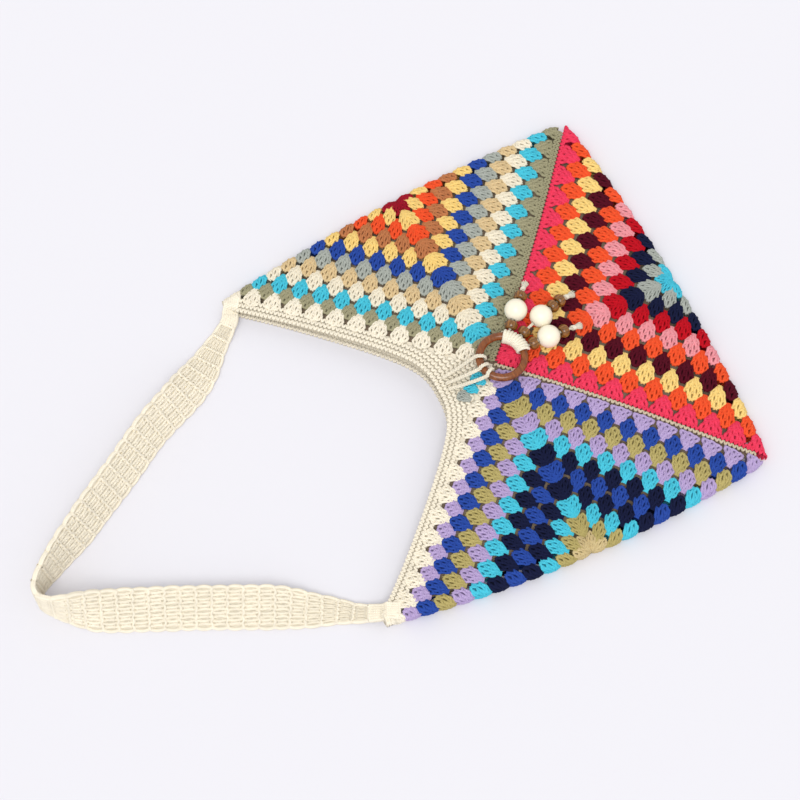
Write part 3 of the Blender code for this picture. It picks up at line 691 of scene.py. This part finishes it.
def cluster(steps, fan, crossings):
    """Three double crochets worked into one space: narrow at the foot, wide and puffed at the head.

    A fan is widest at its head, as in a square's last round. Short yarns lie over the long at the crossings.
    """
    made = Yarns()
    v = np.linspace(0, 1, steps + 1)

    def half_width(v):
        if fan:
            return CLUSTER_HALF * (0.20 + 0.84 * v)
        rising = 0.30 + 0.70 * np.sin(np.clip(v / 0.80, 0, 1) * math.pi / 2) ** 1.5
        return CLUSTER_HALF * (rising - 0.16 * np.clip((v - 0.80) / 0.20, 0, 1) ** 2)

    def height(v, a):
        return -0.0012 + 0.0036 * np.sin((0.10 + 0.86 * v) * math.pi) ** 0.6 * (1 - 0.40 * a * a) + 0.0006 * v

    drop = 0.05 if fan else 0.20
    for number, a in enumerate((-0.84, -0.51, -0.18, 0.18, 0.51, 0.84)):
        hand = 1 if number % 2 else -1
        swing = 2 * math.pi * LINKS * v
        x = half_width(v) * a + hand * 0.00055 * np.cos(swing) * eased(v * 3)
        y = STITCH_LENGTH * v * (1.0 - drop * a * a)
        z = height(v, a) + hand * 0.00035 * np.sin(swing)
        made.tube(np.stack([x, y, z], 1), CLUSTER_YARN * (0.66 + 0.34 * eased(v * 3)))
    u = np.linspace(-1, 1, 4)
    for number, a in enumerate((-0.68, 0.0, 0.68)):
        for place in crossings:
            v = place + (0.045 if number % 2 else -0.03) + 0.06 * u
            x = half_width(v) * a + u * 0.00150
            over = height(v, a) + 0.0009 - 0.0006 * u * u
            made.tube(np.stack([x, STITCH_LENGTH * v, over], 1), drawn_in(4, CROSSING_YARN))
    across = np.linspace(-1, 1, steps + 1)
    x = across * half_width(0.93) * 0.92
    y = STITCH_LENGTH * (0.945 - drop * across**2) + 0.0004 * np.cos(across * 9)
    z = 0.0014 - 0.0011 * across**2 + 0.0003 * np.sin(across * 9)
    made.tube(np.stack([x, y, z], 1), HEAD_YARN)
    v = np.array([0.06, 0.3, 0.55, 0.8, 0.93])
    # The filling is painted in full shade, as it lies under the stitch's yarns.
    made.pad(half_width(v) * 0.90, STITCH_LENGTH * v, height(v, 0.0) - 0.0005, 1.0)
    return made


def clusters(fan):
    """A cluster for each side of the bag, plainer in the back."""
    return {FRONT: cluster(9, fan, (0.40, 0.66)), BACK: cluster(6, fan, (0.52,))}


def single_crochet():
    """One low stitch: two legs of a V."""
    made = Yarns()
    v = np.linspace(0, 1, 4)
    for hand in (-1, 1):
        x = hand * (0.00035 + 0.00145 * v)
        y = STITCH_LENGTH * (0.02 + 0.94 * v)
        z = 0.0008 + 0.0009 * np.sin(math.pi * v)
        made.tube(np.stack([x, y, z], 1), drawn_in(4, LOW_YARN, 0.85))
    return made


def post(slant):
    """One double crochet of the strap, both of its faces: two yarns, drawn together, and three over them."""
    made = Yarns()
    v, u = np.linspace(0, 1, 7), np.linspace(-1, 1, 3)
    for face in (1, -1):
        for hand in (-1, 1):
            x = hand * (0.00185 - 0.00075 * np.sin(math.pi * v) ** 2)
            z = face * (0.0004 + 0.0005 * np.sin(math.pi * v))
            made.tube(np.stack([x, STITCH_LENGTH * v, z], 1), POST_YARN)
        for place, reach in ((0.24, 0.0032), (0.50, 0.0013), (0.78, 0.0032)):
            y = STITCH_LENGTH * (place + slant * face * u)
            over = face * (0.0018 - 0.0008 * u * u)
            made.tube(np.stack([u * reach, y, over], 1), drawn_in(3, SLANTED_YARN, 0.85))
    return made


# Clusters that show over the band beside the ring's loops: foot, head and width, from the mouth's point
BESIDE_LOOPS = {
    "olive_square_round_10_cyan": [
        (-0.0150, 0.0155, -0.0020, 0.0215, 0.72),
        (-0.0185, 0.0240, -0.0080, 0.0320, 0.66),
    ],
    "olive_square_round_07_grey": [(-0.0230, 0.0335, -0.0120, 0.0400, 0.66)],
}
OVER_BAND = 0.0024  # how high they lie over it

LOW_WIDTH = 0.0040  # of a single crochet, along its row
LOW_ROW = 0.0044  # from row to row of the band
SEAM_WIDTH = 0.0029


def over_band_stitches(x, y, lift):
    """The surface of the front, raised over the band's stitches."""
    return outline_surface(x, y, FRONT, lift + OVER_BAND)


def round_places(square, number, hand, side):
    """Foot, head and width of each cluster along one leg of a round."""
    pitch = pitch_of(square)
    inner, outer = (number - 1) * pitch, number * pitch
    i = np.arange(number + 1)
    jitter = uneven(i * 7.1 + number * 3.7 + hand + 2 * side) - 0.5
    foot_s = inner * (2 * i / number - 1) * 0.985
    head_s = outer * (2 * (i + 0.5) / (number + 1) - 1)
    head_s = head_s + np.where(i == 0, -0.10, 0) * pitch + np.where(i == number, 0.10, 0) * pitch
    foot_t = np.full(number + 1, inner - (0.34 if number > 1 else -0.12) * pitch)
    last = number == len(square["rounds"])
    head_t = np.full(number + 1, outer + (0.02 if last else 0.38) * pitch)
    spacing = 2 * outer / (number + 1)
    fullness = (1.0 if last else 0.78) + 0.05 * jitter
    width = np.minimum(spacing / (2 * CLUSTER_HALF), 1.35) * fullness
    return np.stack([foot_s, foot_t, head_s + 0.0006 * jitter, head_t, width], 1)


def row_places(start, stop, stitch, foot, head):
    """Places of a row of single crochets, from start to stop along a surface."""
    count = max(2, round(abs(stop - start) / stitch))
    s = start + (stop - start) * (np.arange(count) + 0.5) / count
    ones = np.ones(count)
    lean = 0.0005 * (uneven(s * 900) - 0.5)
    return np.stack([s + lean, foot * ones, s, head * ones, ones * stitch / LOW_WIDTH], 1)


def build_rounds():
    """Every round of the three squares, and the single crochets along the edge of the coral one."""
    within, outermost, low = clusters(fan=False), clusters(fan=True), single_crochet()
    for square_name, square in SQUARES.items():
        for number, yarn in enumerate(square["rounds"], start=1):
            node = f"{square_name}_round_{number:02d}_{yarn}"
            made = Yarns()
            stitches = outermost if number == len(square["rounds"]) else within
            for side in (FRONT, BACK):
                for hand in (1, -1):
                    surface = square_surface(square["edge"], hand, side)
                    made.copies(stitches[side], round_places(square, number, hand, side), surface)
                    if node.endswith("10_coral"):
                        rim = rim_of(square)
                        places = row_places(-rim, rim, LOW_WIDTH, rim - 0.0014, rim + TAUPE_EDGING - 0.0004)
                        made.copies(low, places, surface)
            if node in BESIDE_LOOPS:
                made.copies(within[FRONT], BESIDE_LOOPS[node], over_band_stitches)
            made.piece(f"{node}_stitches", cotton(yarn), f"{yarn}_yarn", node)


def build_seams():
    """One row of single crochets down each lower diagonal, and a second one on the olive side."""
    low = single_crochet()
    reach = HALF_SIDE - QUARTER_TURN
    for yarn, hand, upper in (("olive", 1, OLIVE_EDGING), ("taupe", -1, TAUPE_EDGING)):
        for side, word in ((FRONT, "front"), (BACK, "back")):
            made = Yarns()
            surface = seam_surface(hand, side)
            made.copies(low, row_places(0.001, reach, SEAM_WIDTH, -0.0006, upper / 2 + 0.0008), surface)
            if yarn == "olive":
                made.copies(low, row_places(0.001, reach, SEAM_WIDTH, upper / 2, upper + 0.0006), surface)
            made.piece(f"{word}_{yarn}_seam_stitches", cotton(yarn), f"{yarn}_yarn", f"{word}_{yarn}_seam")


BAND_ROWS = 10  # of single crochets, of which only the first run the whole way
EDGING_ROWS = 3
TIP_WRAPS = 6
TIP_PITCH = 0.0023
TIP_REACH = 0.0125  # of the yarns round each tip, from the fold into the front and the back
TIP_POINTS = 17
TIP_YARN = 0.0014
BACKING_COLUMNS, BACKING_ROWS = 181, 9


def band_backing(made, side):
    """Yarn behind the band's stitches, from the squares to the mouth's edge, slightly darkened as painted
    shade.
    """
    x, share = crossed(np.linspace(-HALF_SIDE, HALF_SIDE, BACKING_COLUMNS), np.linspace(0, 1, BACKING_ROWS))
    low, high = np.abs(x) + 0.0005, band_edge(x) - 0.0016
    points = outline_surface(x, low + (high - low) * share, side, np.full(len(x), -0.0006))
    # Painted shade: the backing is darkened a little, as it lies in the stitches' shadow.
    made.grid(points, BACKING_COLUMNS, BACKING_ROWS, 0.15)


def build_band():
    """Clusters into the squares' last rounds, rows that fill the mouth's point, and edging rows."""
    within, low = clusters(fan=False), single_crochet()
    made = Yarns()
    for side in (FRONT, BACK):
        for square_name in ("olive_square", "lavender_square"):
            square = SQUARES[square_name]
            rim, number = rim_of(square), len(square["rounds"]) + 1
            s = rim * (2 * np.arange(number) / number - 1)
            ones = np.ones(number)
            places = np.stack([s * 0.985, ones * (rim - 0.0085), s, ones * (rim + 0.0098), ones * 1.02], 1)
            made.copies(within[side], places, square_surface(square["edge"], 1, side))
        surface = mouth_surface(side)
        for row in range(BAND_ROWS):
            head = LOW_ROW * row
            places = row_places(-MOUTH_HALF, MOUTH_HALF, LOW_WIDTH, head + LOW_ROW, head + 0.0003)
            x, y = under_mouth(places[:, 0], places[:, 1])
            made.copies(low, places[(y > np.abs(x) + 0.004) | (row < EDGING_ROWS)], surface)
            if row < EDGING_ROWS:
                made.copies(low, places, lambda s, t, lift: surface(s, t, -lift))
        band_backing(made, side)
    around, lift = np.linspace(-TIP_REACH, TIP_REACH, TIP_POINTS), np.full(TIP_POINTS, 0.0010)
    for edge in ("right", "left"):
        for row in range(TIP_WRAPS):
            along = np.full(TIP_POINTS, FLAT_HALF + BAND_TIP - 0.0010 - TIP_PITCH * row)
            made.tube(folded(edge, along, around, lift), TIP_YARN)
    made.piece("opening_band_stitches", cotton("strap"), "cream_yarn", "opening_band")


# The strap


def smooth_route(route, pieces=16):
    """Points close together on a smooth curve through a route."""
    route = np.asarray(route, float)
    points = []
    for i in range(len(route) - 1):
        before, here, there, after = [route[max(0, min(len(route) - 1, i + k))] for k in (-1, 0, 1, 2)]
        t = np.arange(pieces)[:, None] / pieces
        bend = 2 * before - 5 * here + 4 * there - after
        twist = 3 * here - before - 3 * there + after
        points.append((2 * here + (there - before) * t + bend * t * t + twist * t**3) / 2)
    return np.concatenate([*points, route[-1:]])


def strap_end(hand, ahead):
    """Where the strap starts, tucked in under the mouth's edge."""
    across = np.array([HALF_SIDE - STRAP_INSET])
    start = np.concatenate(shape_of_bag(hand * across, band_edge(across)))
    target = np.array(ahead[:2]) * HALF_SIDE + MOUTH_POINT
    x, y = start - unit(target - start) * STRAP_TUCK
    return x, y, 0.0, ahead[2]


def strap_line():
    """The strap's middle line over the table, with its roll."""
    route = [strap_end(1, STRAP_ROUTE[0])]
    for x, y, roll in STRAP_ROUTE:
        route.append((x * HALF_SIDE + MOUTH_POINT[0], y * HALF_SIDE + MOUTH_POINT[1], 0.0, roll))
    return smooth_route([*route, strap_end(-1, STRAP_ROUTE[-1])])


STRAP_LINE = strap_line()
STRAP_RUN = run_of(STRAP_LINE)
STRAP_LENGTH = STRAP_RUN[-1]


def strap_surface(s, t, lift):
    """The strap's middle surface: s along it, t across it as a share of its half width, lift off it."""
    here, before, after = (points_at(s + step, STRAP_RUN, STRAP_LINE) for step in (0.0, -0.004, 0.004))
    ahead = unit((after - before)[:, :2])
    level = np.stack([ahead[:, 1], -ahead[:, 0], np.zeros(len(s))], 1)
    roll = np.radians(here[:, 3])[:, None]
    up = np.array([[0.0, 0.0, 1.0]])
    broad = level * np.cos(roll) + up * np.sin(roll)
    through = up * np.cos(roll) - level * np.sin(roll)
    ease = eased(np.minimum(s, STRAP_LENGTH - s) / STRAP_LENGTH / STRAP_WIDENING)
    half = (STRAP_END_WIDTH + (STRAP_WIDTH - STRAP_END_WIDTH) * ease) / 2
    low = half * np.abs(np.sin(roll[:, 0])) + STRAP_THICKNESS / 2 * np.abs(np.cos(roll[:, 0]))
    climb = np.maximum(0, 1 - np.minimum(s, STRAP_LENGTH - s) / STRAP_CLIMB)
    z = low + climb * (STRAP_SEAT - low)
    middle = np.stack([here[:, 0], here[:, 1], z], 1)
    return middle + broad * (half * t)[:, None] + through * lift[:, None]


STRAP_SHARE = 2 / STRAP_WIDTH  # turns metres across the strap into shares of its half width
POSTS = 5  # in a row, from edge to edge
POST_PITCH = 0.0062
RIDGE_YARN = 0.0014
CHAIN_YARN = 0.0016
RIDGE_REACH = 0.92  # share of the strap's half width
STRAP_COLUMNS = 7  # of the sheets inside the strap

JOIN_YARNS = 7  # that close the join at each end of the strap
JOIN_YARN = 0.0016
JOIN_ON_STRAP = np.array([0.013, 0.007, 0.001])  # places of such a yarn from the strap's end
JOIN_ON_BAND = np.array([0.0035, 0.0075, 0.0115, 0.0145])  # and beyond it, on the band
JOIN_LIFTS = np.array([0.0, 0.0, 0.0, -0.0012])


def over_band(places, lift):
    """Points of the band's front over places of the table."""
    outline = places - MOUTH_POINT
    for _ in range(4):
        outline = outline + places - np.stack(shape_of_bag(*outline.T), 1)
    return outline_surface(outline[:, 0], outline[:, 1], FRONT, np.full(len(places), lift))


def join_strap(made):
    """Yarns from each end of the strap up over the band's edge, where the two are crocheted together."""
    for s, upper_face in ((JOIN_ON_STRAP, 1), (STRAP_LENGTH - JOIN_ON_STRAP, -1)):
        for t in np.linspace(-RIDGE_REACH, RIDGE_REACH, JOIN_YARNS):
            low = strap_surface(s, np.full(len(s), t), np.full(len(s), 0.0012 * upper_face))
            way = unit(low[-1, :2] - low[0, :2])
            high = over_band(low[-1, :2] + way * JOIN_ON_BAND[:, None], 0.0020)
            high[:, 2] += JOIN_LIFTS
            made.tube(smooth_route([*low, *high], 3), JOIN_YARN)


def strap_sheet(made, steps, reach, lift, painted_shade):
    """Plain cloth inside the strap, darkened by the given amount of painted shade."""
    along = np.linspace(0.001, STRAP_LENGTH - 0.001, steps)
    s, t = crossed(along, np.linspace(-reach, reach, STRAP_COLUMNS))
    made.grid(strap_surface(s, t, np.full(len(s), lift)), steps, STRAP_COLUMNS, painted_shade)


def build_strap():
    """Rows of double crochets between ridges, with a turning chain along each edge."""
    made = Yarns()
    rows = round(STRAP_LENGTH / STRAP_ROW)
    row = STRAP_LENGTH / rows
    posts = post(0.07), post(-0.10)

    def laid(s, t, lift):
        return strap_surface(s, t * STRAP_SHARE, lift)

    for k in range(rows):
        i = np.arange(POSTS)
        jitter = uneven(i * 3.3 + k * 1.7) - 0.5
        across = (i - (POSTS - 1) / 2) * POST_PITCH + 0.0006 * jitter
        ones = np.ones(POSTS)
        foot, head = k * row + 0.0006, (k + 1) * row - 0.0006
        places = [foot * ones, across - 0.0003, head * ones, across + 0.0003, ones + 0.10 * jitter]
        made.copies(posts[k % 2], np.stack(places, 1), laid)
        for face in (1, -1):
            wave = np.cos(np.arange(4 * POSTS + 3) * math.pi / 2 + k)
            t = np.linspace(-RIDGE_REACH, RIDGE_REACH, len(wave))
            ridge = strap_surface(k * row + 0.0008 * wave, t, face * (0.0014 + 0.0005 * wave))
            made.tube(ridge, RIDGE_YARN)
            v = np.linspace(0, 1, 7)
            for hand in (1, -1):
                bulge = hand * (0.865 + 0.085 * np.sin(math.pi * v) ** 0.7 + 0.02 * jitter[0])
                made.tube(strap_surface((k + v) * row, bulge, np.full(len(v), 0.0007 * face)), CHAIN_YARN)
    # Sheets just under the stitches on both faces, painted darker as the shade seen in the gaps between the
    # stitches.
    for face in (1, -1):
        strap_sheet(made, 160, 0.88, 0.0005 * face, 0.34)
    join_strap(made)
    strap = made.piece("shoulder_strap_stitches", cotton("strap"), "cream_yarn", "shoulder_strap")
    # The strap's middle sheet, slightly darkened as painted shade.
    core = Yarns()
    strap_sheet(core, 240, RIDGE_REACH, 0.0, 0.12)
    sheet = core.piece("shoulder_strap_cloth", cotton("strap"), "cream_yarn")


# Lining

LINING_COLUMNS, LINING_ROWS = 72, 60
LINING_GAP = 0.0010  # from each panel to the cloth round it
WRINKLE = 0.0004


def build_lining():
    """Two panels of plain cloth inside the crochet, with small wrinkles."""
    columns, rows = LINING_COLUMNS, LINING_ROWS
    reach = HALF_SIDE - LINING_INSET + 0.0008
    made = Yarns()
    for side in (FRONT, BACK):
        u, v = crossed(np.linspace(-1, 1, columns), np.linspace(0, 1, rows))
        across = reach * u
        mouth = np.minimum(np.abs(across) + LINING_BELOW_BAND, HALF_SIDE - 2 * LINING_INSET)
        along = -reach + (mouth + reach) * v
        edge = eased((1 - np.abs(u)) * 9) * eased(v * 9)
        wrinkle = WRINKLE * np.sin(across * 160 + 7 * np.sin(along * 55)) * edge
        x, y = shape_of_bag(across, along)
        if side == FRONT:
            flat = front_level(across, along) - TOP_LIFT - LINING_GAP + wrinkle
        else:
            flat = BACK_MIDDLE + TOP_LIFT + LINING_GAP + wrinkle
        points = np.stack([x, y, flat * edge + FOLD_MIDDLE * (1 - edge)], 1)
        i, j = crossed(np.arange(columns - 1), np.arange(rows - 1))
        faces = np.stack([i * rows + j, (i + 1) * rows + j, (i + 1) * rows + j + 1, i * rows + j + 1], 1)
        if side == BACK:
            faces = faces[:, ::-1]
        made.add(points, faces, np.zeros((len(faces), 4, 2)), np.zeros(len(points)))
    # The lining's browns are its own taupe darkened as painted shade, for the holes in the crochet that it is
    # seen through; the noise between them is the weave's uneven tone.
    cloth = Shader("lining_cloth", paint((150, 132, 112)), 0.9)
    weave = cloth.noise(420.0)
    cloth.set(base_color=cloth.mixed(weave, paint((136, 117, 97)), paint((166, 148, 127))))
    cloth.bump(cloth.noise(1800.0), 0.0002)
    lining = made.piece("lining_pouch_cloth", cloth.material, "taupe_cloth", "lining_pouch")
    flat = (2 * reach, 4 * reach)


# Ring, its wrap and loops


def above_cloth(x, y, height):
    """A point this far above the tops of the front's stitches, from the mouth's point."""
    level = front_level(x, y) + TOP_LIFT + STITCH_CROWN + height
    return np.array([x + MOUTH_POINT[0], y + MOUTH_POINT[1], level])


RING_CENTRE = above_cloth(*RING_PLACE, RING_HEIGHT)


def build_ring():
    """The turned wooden ring, with grain along one way."""
    bpy.ops.mesh.primitive_torus_add(
        major_radius=RING_RADIUS,
        minor_radius=RING_SECTION,
        major_segments=112,
        minor_segments=36,
        location=RING_CENTRE,
    )
    ring = bpy.context.object
    ring.name = "ring_turned"
    ring.data.shade_smooth()
    wood = Shader("ring_wood", paint((126, 62, 26)), 0.28)
    grain = wood.grain((45.0, 420.0, 420.0))
    wood.set(base_color=wood.mixed(grain * 1.6 - 0.3, paint((84, 34, 8)), paint((158, 88, 30))))
    wood.set(roughness=grain * 0.12 + 0.20, coat_weight=0.35, coat_roughness=0.12)
    ring.data.materials.append(wood.material)
    show(ring, "ring_wood", "wooden_ring")


WRAP_TURNS = 10
WRAP_YARN = 0.00145


def build_wrap():
    """Yarn wound closely round the ring's lower side."""
    steps = WRAP_TURNS * 14
    share = np.linspace(0, 1, steps + 1)
    angle = np.radians(WRAP_FROM_DEG + 2 + (WRAP_TO_DEG - WRAP_FROM_DEG - 4) * share)
    swing = 2 * math.pi * WRAP_TURNS * share
    away = WRAP_BORE + 0.0011
    out = RING_RADIUS + away * np.cos(swing)
    made = Yarns()
    path = np.stack([out * np.cos(angle), out * np.sin(angle), away * np.sin(swing)], 1) + RING_CENTRE
    made.tube(path, drawn_in(steps + 1, WRAP_YARN))
    made.piece("ring_wrap_yarn", cotton("white"), "white_yarn", "ring_wrap")


def spaced(route, step):
    """Points a step apart on a smooth curve through a route."""
    fine = smooth_route(route)
    run = run_of(fine)
    count = max(2, round(run[-1] / step))
    return points_at(np.linspace(0, run[-1], count + 1), run, fine)


def chain(made, route, radius):
    """A crocheted chain along a route: three yarns that plait. Returns the points of its middle line."""
    points = spaced(route, radius / 1.6)
    run = run_of(points)
    ahead = unit(np.gradient(points, axis=0))
    side = np.cross(ahead, (0.0, 0.0, 1.0))
    side /= np.maximum(np.linalg.norm(side, axis=1), 1e-6)[:, None]
    for i in range(1, len(side)):
        if side[i] @ side[i - 1] < 0:
            side[i] = -side[i]
    up = np.cross(side, ahead)
    for k in range(3):
        turn = 2 * math.pi * (run / (radius * 4.4) + k / 3)
        swing = np.sin(turn)[:, None] * side * radius * 0.62 + np.sin(2 * turn)[:, None] * up * radius * 0.34
        made.tube(points + swing, drawn_in(len(points), radius * 0.50))
    return points


LOOP_CHAIN = 0.0017


def build_loops():
    """Loops from the band over the ring's rim, down through it and back underneath."""
    away = RING_SECTION + YARN_RADIUS + 2 * CLEARANCE
    for name, (start, turn_deg) in LOOPS.items():
        turn = math.radians(turn_deg)
        out = np.array([math.sin(turn), math.cos(turn), 0.0])
        rim = RING_CENTRE + out * RING_RADIUS
        along = float(band_edge(start)) - LOOP_INSET
        x, y = shape_of_bag(start, along)
        band_top = np.array([x, y, front_level(start, along) + TOP_LIFT + YARN_RADIUS + CLEARANCE])
        arch = (band_top + rim + out * away) / 2
        arch[2] = band_top[2] + LOOP_ARCH
        route = [band_top, arch]
        for degrees in range(30, 210, 35):
            swing = math.radians(degrees)
            route.append(rim + out * away * math.cos(swing) + np.array([0, 0, away * math.sin(swing)]))
        made = Yarns()
        line = chain(made, route, LOOP_CHAIN)
        loop = made.piece(f"{name}_yarn", cotton("strap"), "white_yarn", name)


# Beads on their cords


def bead_profile(kind):
    """Half the outline of a bead with a bore: from its top down its outer side, and up the bore."""
    if kind == "cream":
        start = math.asin(BORE_RADIUS / CREAM_BEAD_RADIUS)
        angles = np.linspace(start, math.pi - start, 25)
        outer = [(CREAM_BEAD_RADIUS * math.sin(a), CREAM_BEAD_RADIUS * math.cos(a)) for a in angles]
        half = outer[0][1]
    else:
        rim, half = BORE_RADIUS + 0.0008, BROWN_BEAD_LENGTH / 2
        swell = BROWN_BEAD_RADIUS - rim
        outer = [(rim + swell * math.sin(a) ** 0.85, half * math.cos(a)) for a in np.linspace(0, math.pi, 21)]
    return outer + [(BORE_RADIUS, -half * 0.96), (BORE_RADIUS, half * 0.96)]


BEAD_SIDES = 40
HALF_BEAD = {"cream": CREAM_BEAD_RADIUS, "brown": BROWN_BEAD_LENGTH / 2}


def build_bead(name, kind, place, axis, finish):
    """A turned bead with its bore along an axis."""
    outline = bead_profile(kind)
    count = len(outline)
    points, faces = [], []
    for j in range(BEAD_SIDES):
        angle = 2 * math.pi * j / BEAD_SIDES
        points += [(r * math.cos(angle), r * math.sin(angle), z) for r, z in outline]
        here, there = j * count, (j + 1) % BEAD_SIDES * count
        for i in range(count):
            k = (i + 1) % count
            faces.append((here + i, here + k, there + k, there + i))
    mesh = bpy.data.meshes.new(name)
    mesh.from_pydata(points, [], faces)
    mesh.shade_smooth()
    mesh.materials.append(finish)
    bead = linked(name, mesh)
    bead.location = place
    bead.rotation_mode = "QUATERNION"
    bead.rotation_quaternion = Vector(axis).to_track_quat("Z", "Y")
    return show(bead, f"{kind}_bead", name.removesuffix("_turned"))


def bead_finishes():
    """Painted wood for the cream beads, and varnished wood for the brown ones."""
    cream = Shader("bead_cream", paint((250, 243, 222)), 0.38)
    cream.set(base_color=cream.mixed(cream.noise(240.0), paint((246, 236, 212)), paint((254, 250, 234))))
    cream.set(coat_weight=0.15, coat_roughness=0.3)
    brown = Shader("bead_wood", paint((118, 72, 34)), 0.24)
    grain = brown.grain((600.0, 600.0, 90.0))
    brown.set(base_color=brown.mixed(grain * 2.2 - 0.7, paint((46, 20, 4)), paint((176, 116, 44))))
    brown.set(roughness=grain * 0.12 + 0.18, coat_weight=0.4, coat_roughness=0.1)
    return {"cream": cream.material, "brown": brown.material}


def strand_places(beads):
    """Where a strand leaves the ring's wrap, and the middle of each of its beads and the end of its tail."""
    levels = {"start": RING_HEIGHT, "tail": TAIL_RADIUS + CLEARANCE}
    x, y = RING_PLACE
    before = RING_RADIUS + WRAP_BORE + WRAP_THICKNESS + CLEARANCE
    places = []
    for kind, heading_deg, gap, drop in [("start", beads[0][1], 0.0, 0.0), *beads]:
        half = HALF_BEAD.get(kind, 0.0)
        heading = math.radians(heading_deg)
        x += math.sin(heading) * (before + gap + half)
        y -= math.cos(heading) * (before + gap + half)
        places.append(above_cloth(x, y, levels.get(kind, CREAM_BEAD_RADIUS + CLEARANCE) - drop))
        before = half
    return places


TUFT_STRANDS = 22
TUFT_LENGTH = 0.0088
TUFT_SPREAD = 0.0038
STRAND_YARN = 0.00078
KNOT_RADIUS = 0.0016
KNOT_YARN = 0.0009
GOLDEN_ANGLE = 2.399963


def tuft(name, line):
    """The cord's end: a knot, and the plies that spread beyond it."""
    made = Yarns()
    way = unit(line[-1] - line[-9])
    side = unit(np.cross(way, (0.0, 0.0, 1.0)))
    up = np.cross(side, way)
    knot = line[-1] - way * TUFT_LENGTH
    for k in range(3):
        turn = np.linspace(0, 2 * math.pi, 19) + 2 * math.pi * k / 3
        tilt = (k - 1) * 0.0010
        ring = knot + (np.outer(np.cos(turn), side) + np.outer(np.sin(turn), up)) * KNOT_RADIUS
        made.tube(ring + np.outer(tilt + 0.0007 * np.cos(turn), way), KNOT_YARN)
    for k in range(TUFT_STRANDS):
        spread = TUFT_SPREAD * math.sqrt((k + 0.5) / TUFT_STRANDS)
        angle = GOLDEN_ANGLE * k
        aim = (side * math.cos(angle) + up * math.sin(angle)) * spread
        v = np.linspace(0, 1, 7)[:, None]
        bend = (uneven(k + 3.0) - 0.5) * 0.0014 * side
        path = knot + way * TUFT_LENGTH * v + aim * (0.22 + 0.78 * v**1.3) + bend * v * v
        made.tube(path, drawn_in(len(v), STRAND_YARN) * (1 - 0.3 * v[:, 0]))
    return made.piece(f"{name}_tuft", cotton("white"), "white_yarn")


def build_strands():
    """The three bead cords, each with its beads and its tuft."""
    finishes = bead_finishes()
    for name, beads in STRANDS.items():
        places = strand_places(beads)
        route, on_it = [places[0]], []
        for i, (kind, *_) in enumerate(beads[:-1], start=1):
            axis = unit(places[i + 1] - places[i - 1])
            half = axis * HALF_BEAD[kind]
            route += [places[i] - half, places[i] + half]
            node = f"{kind}_bead_{name.removeprefix('bead_cord_')}_{i}"
            on_it.append(build_bead(f"{node}_turned", kind, places[i], axis, finishes[kind]))
        route.append(places[-1])
        made = Yarns()
        line = chain(made, route, YARN_RADIUS)
        cord = made.piece(f"{name}_yarn", cotton("white"), "white_yarn", name)
        on_it.append(tuft(name, line))


place_camera()
place_lights()
place_floor()
build_strands()
build_loops()
build_ring()
build_wrap()
build_rounds()
build_seams()
build_band()
build_strap()
build_lining()
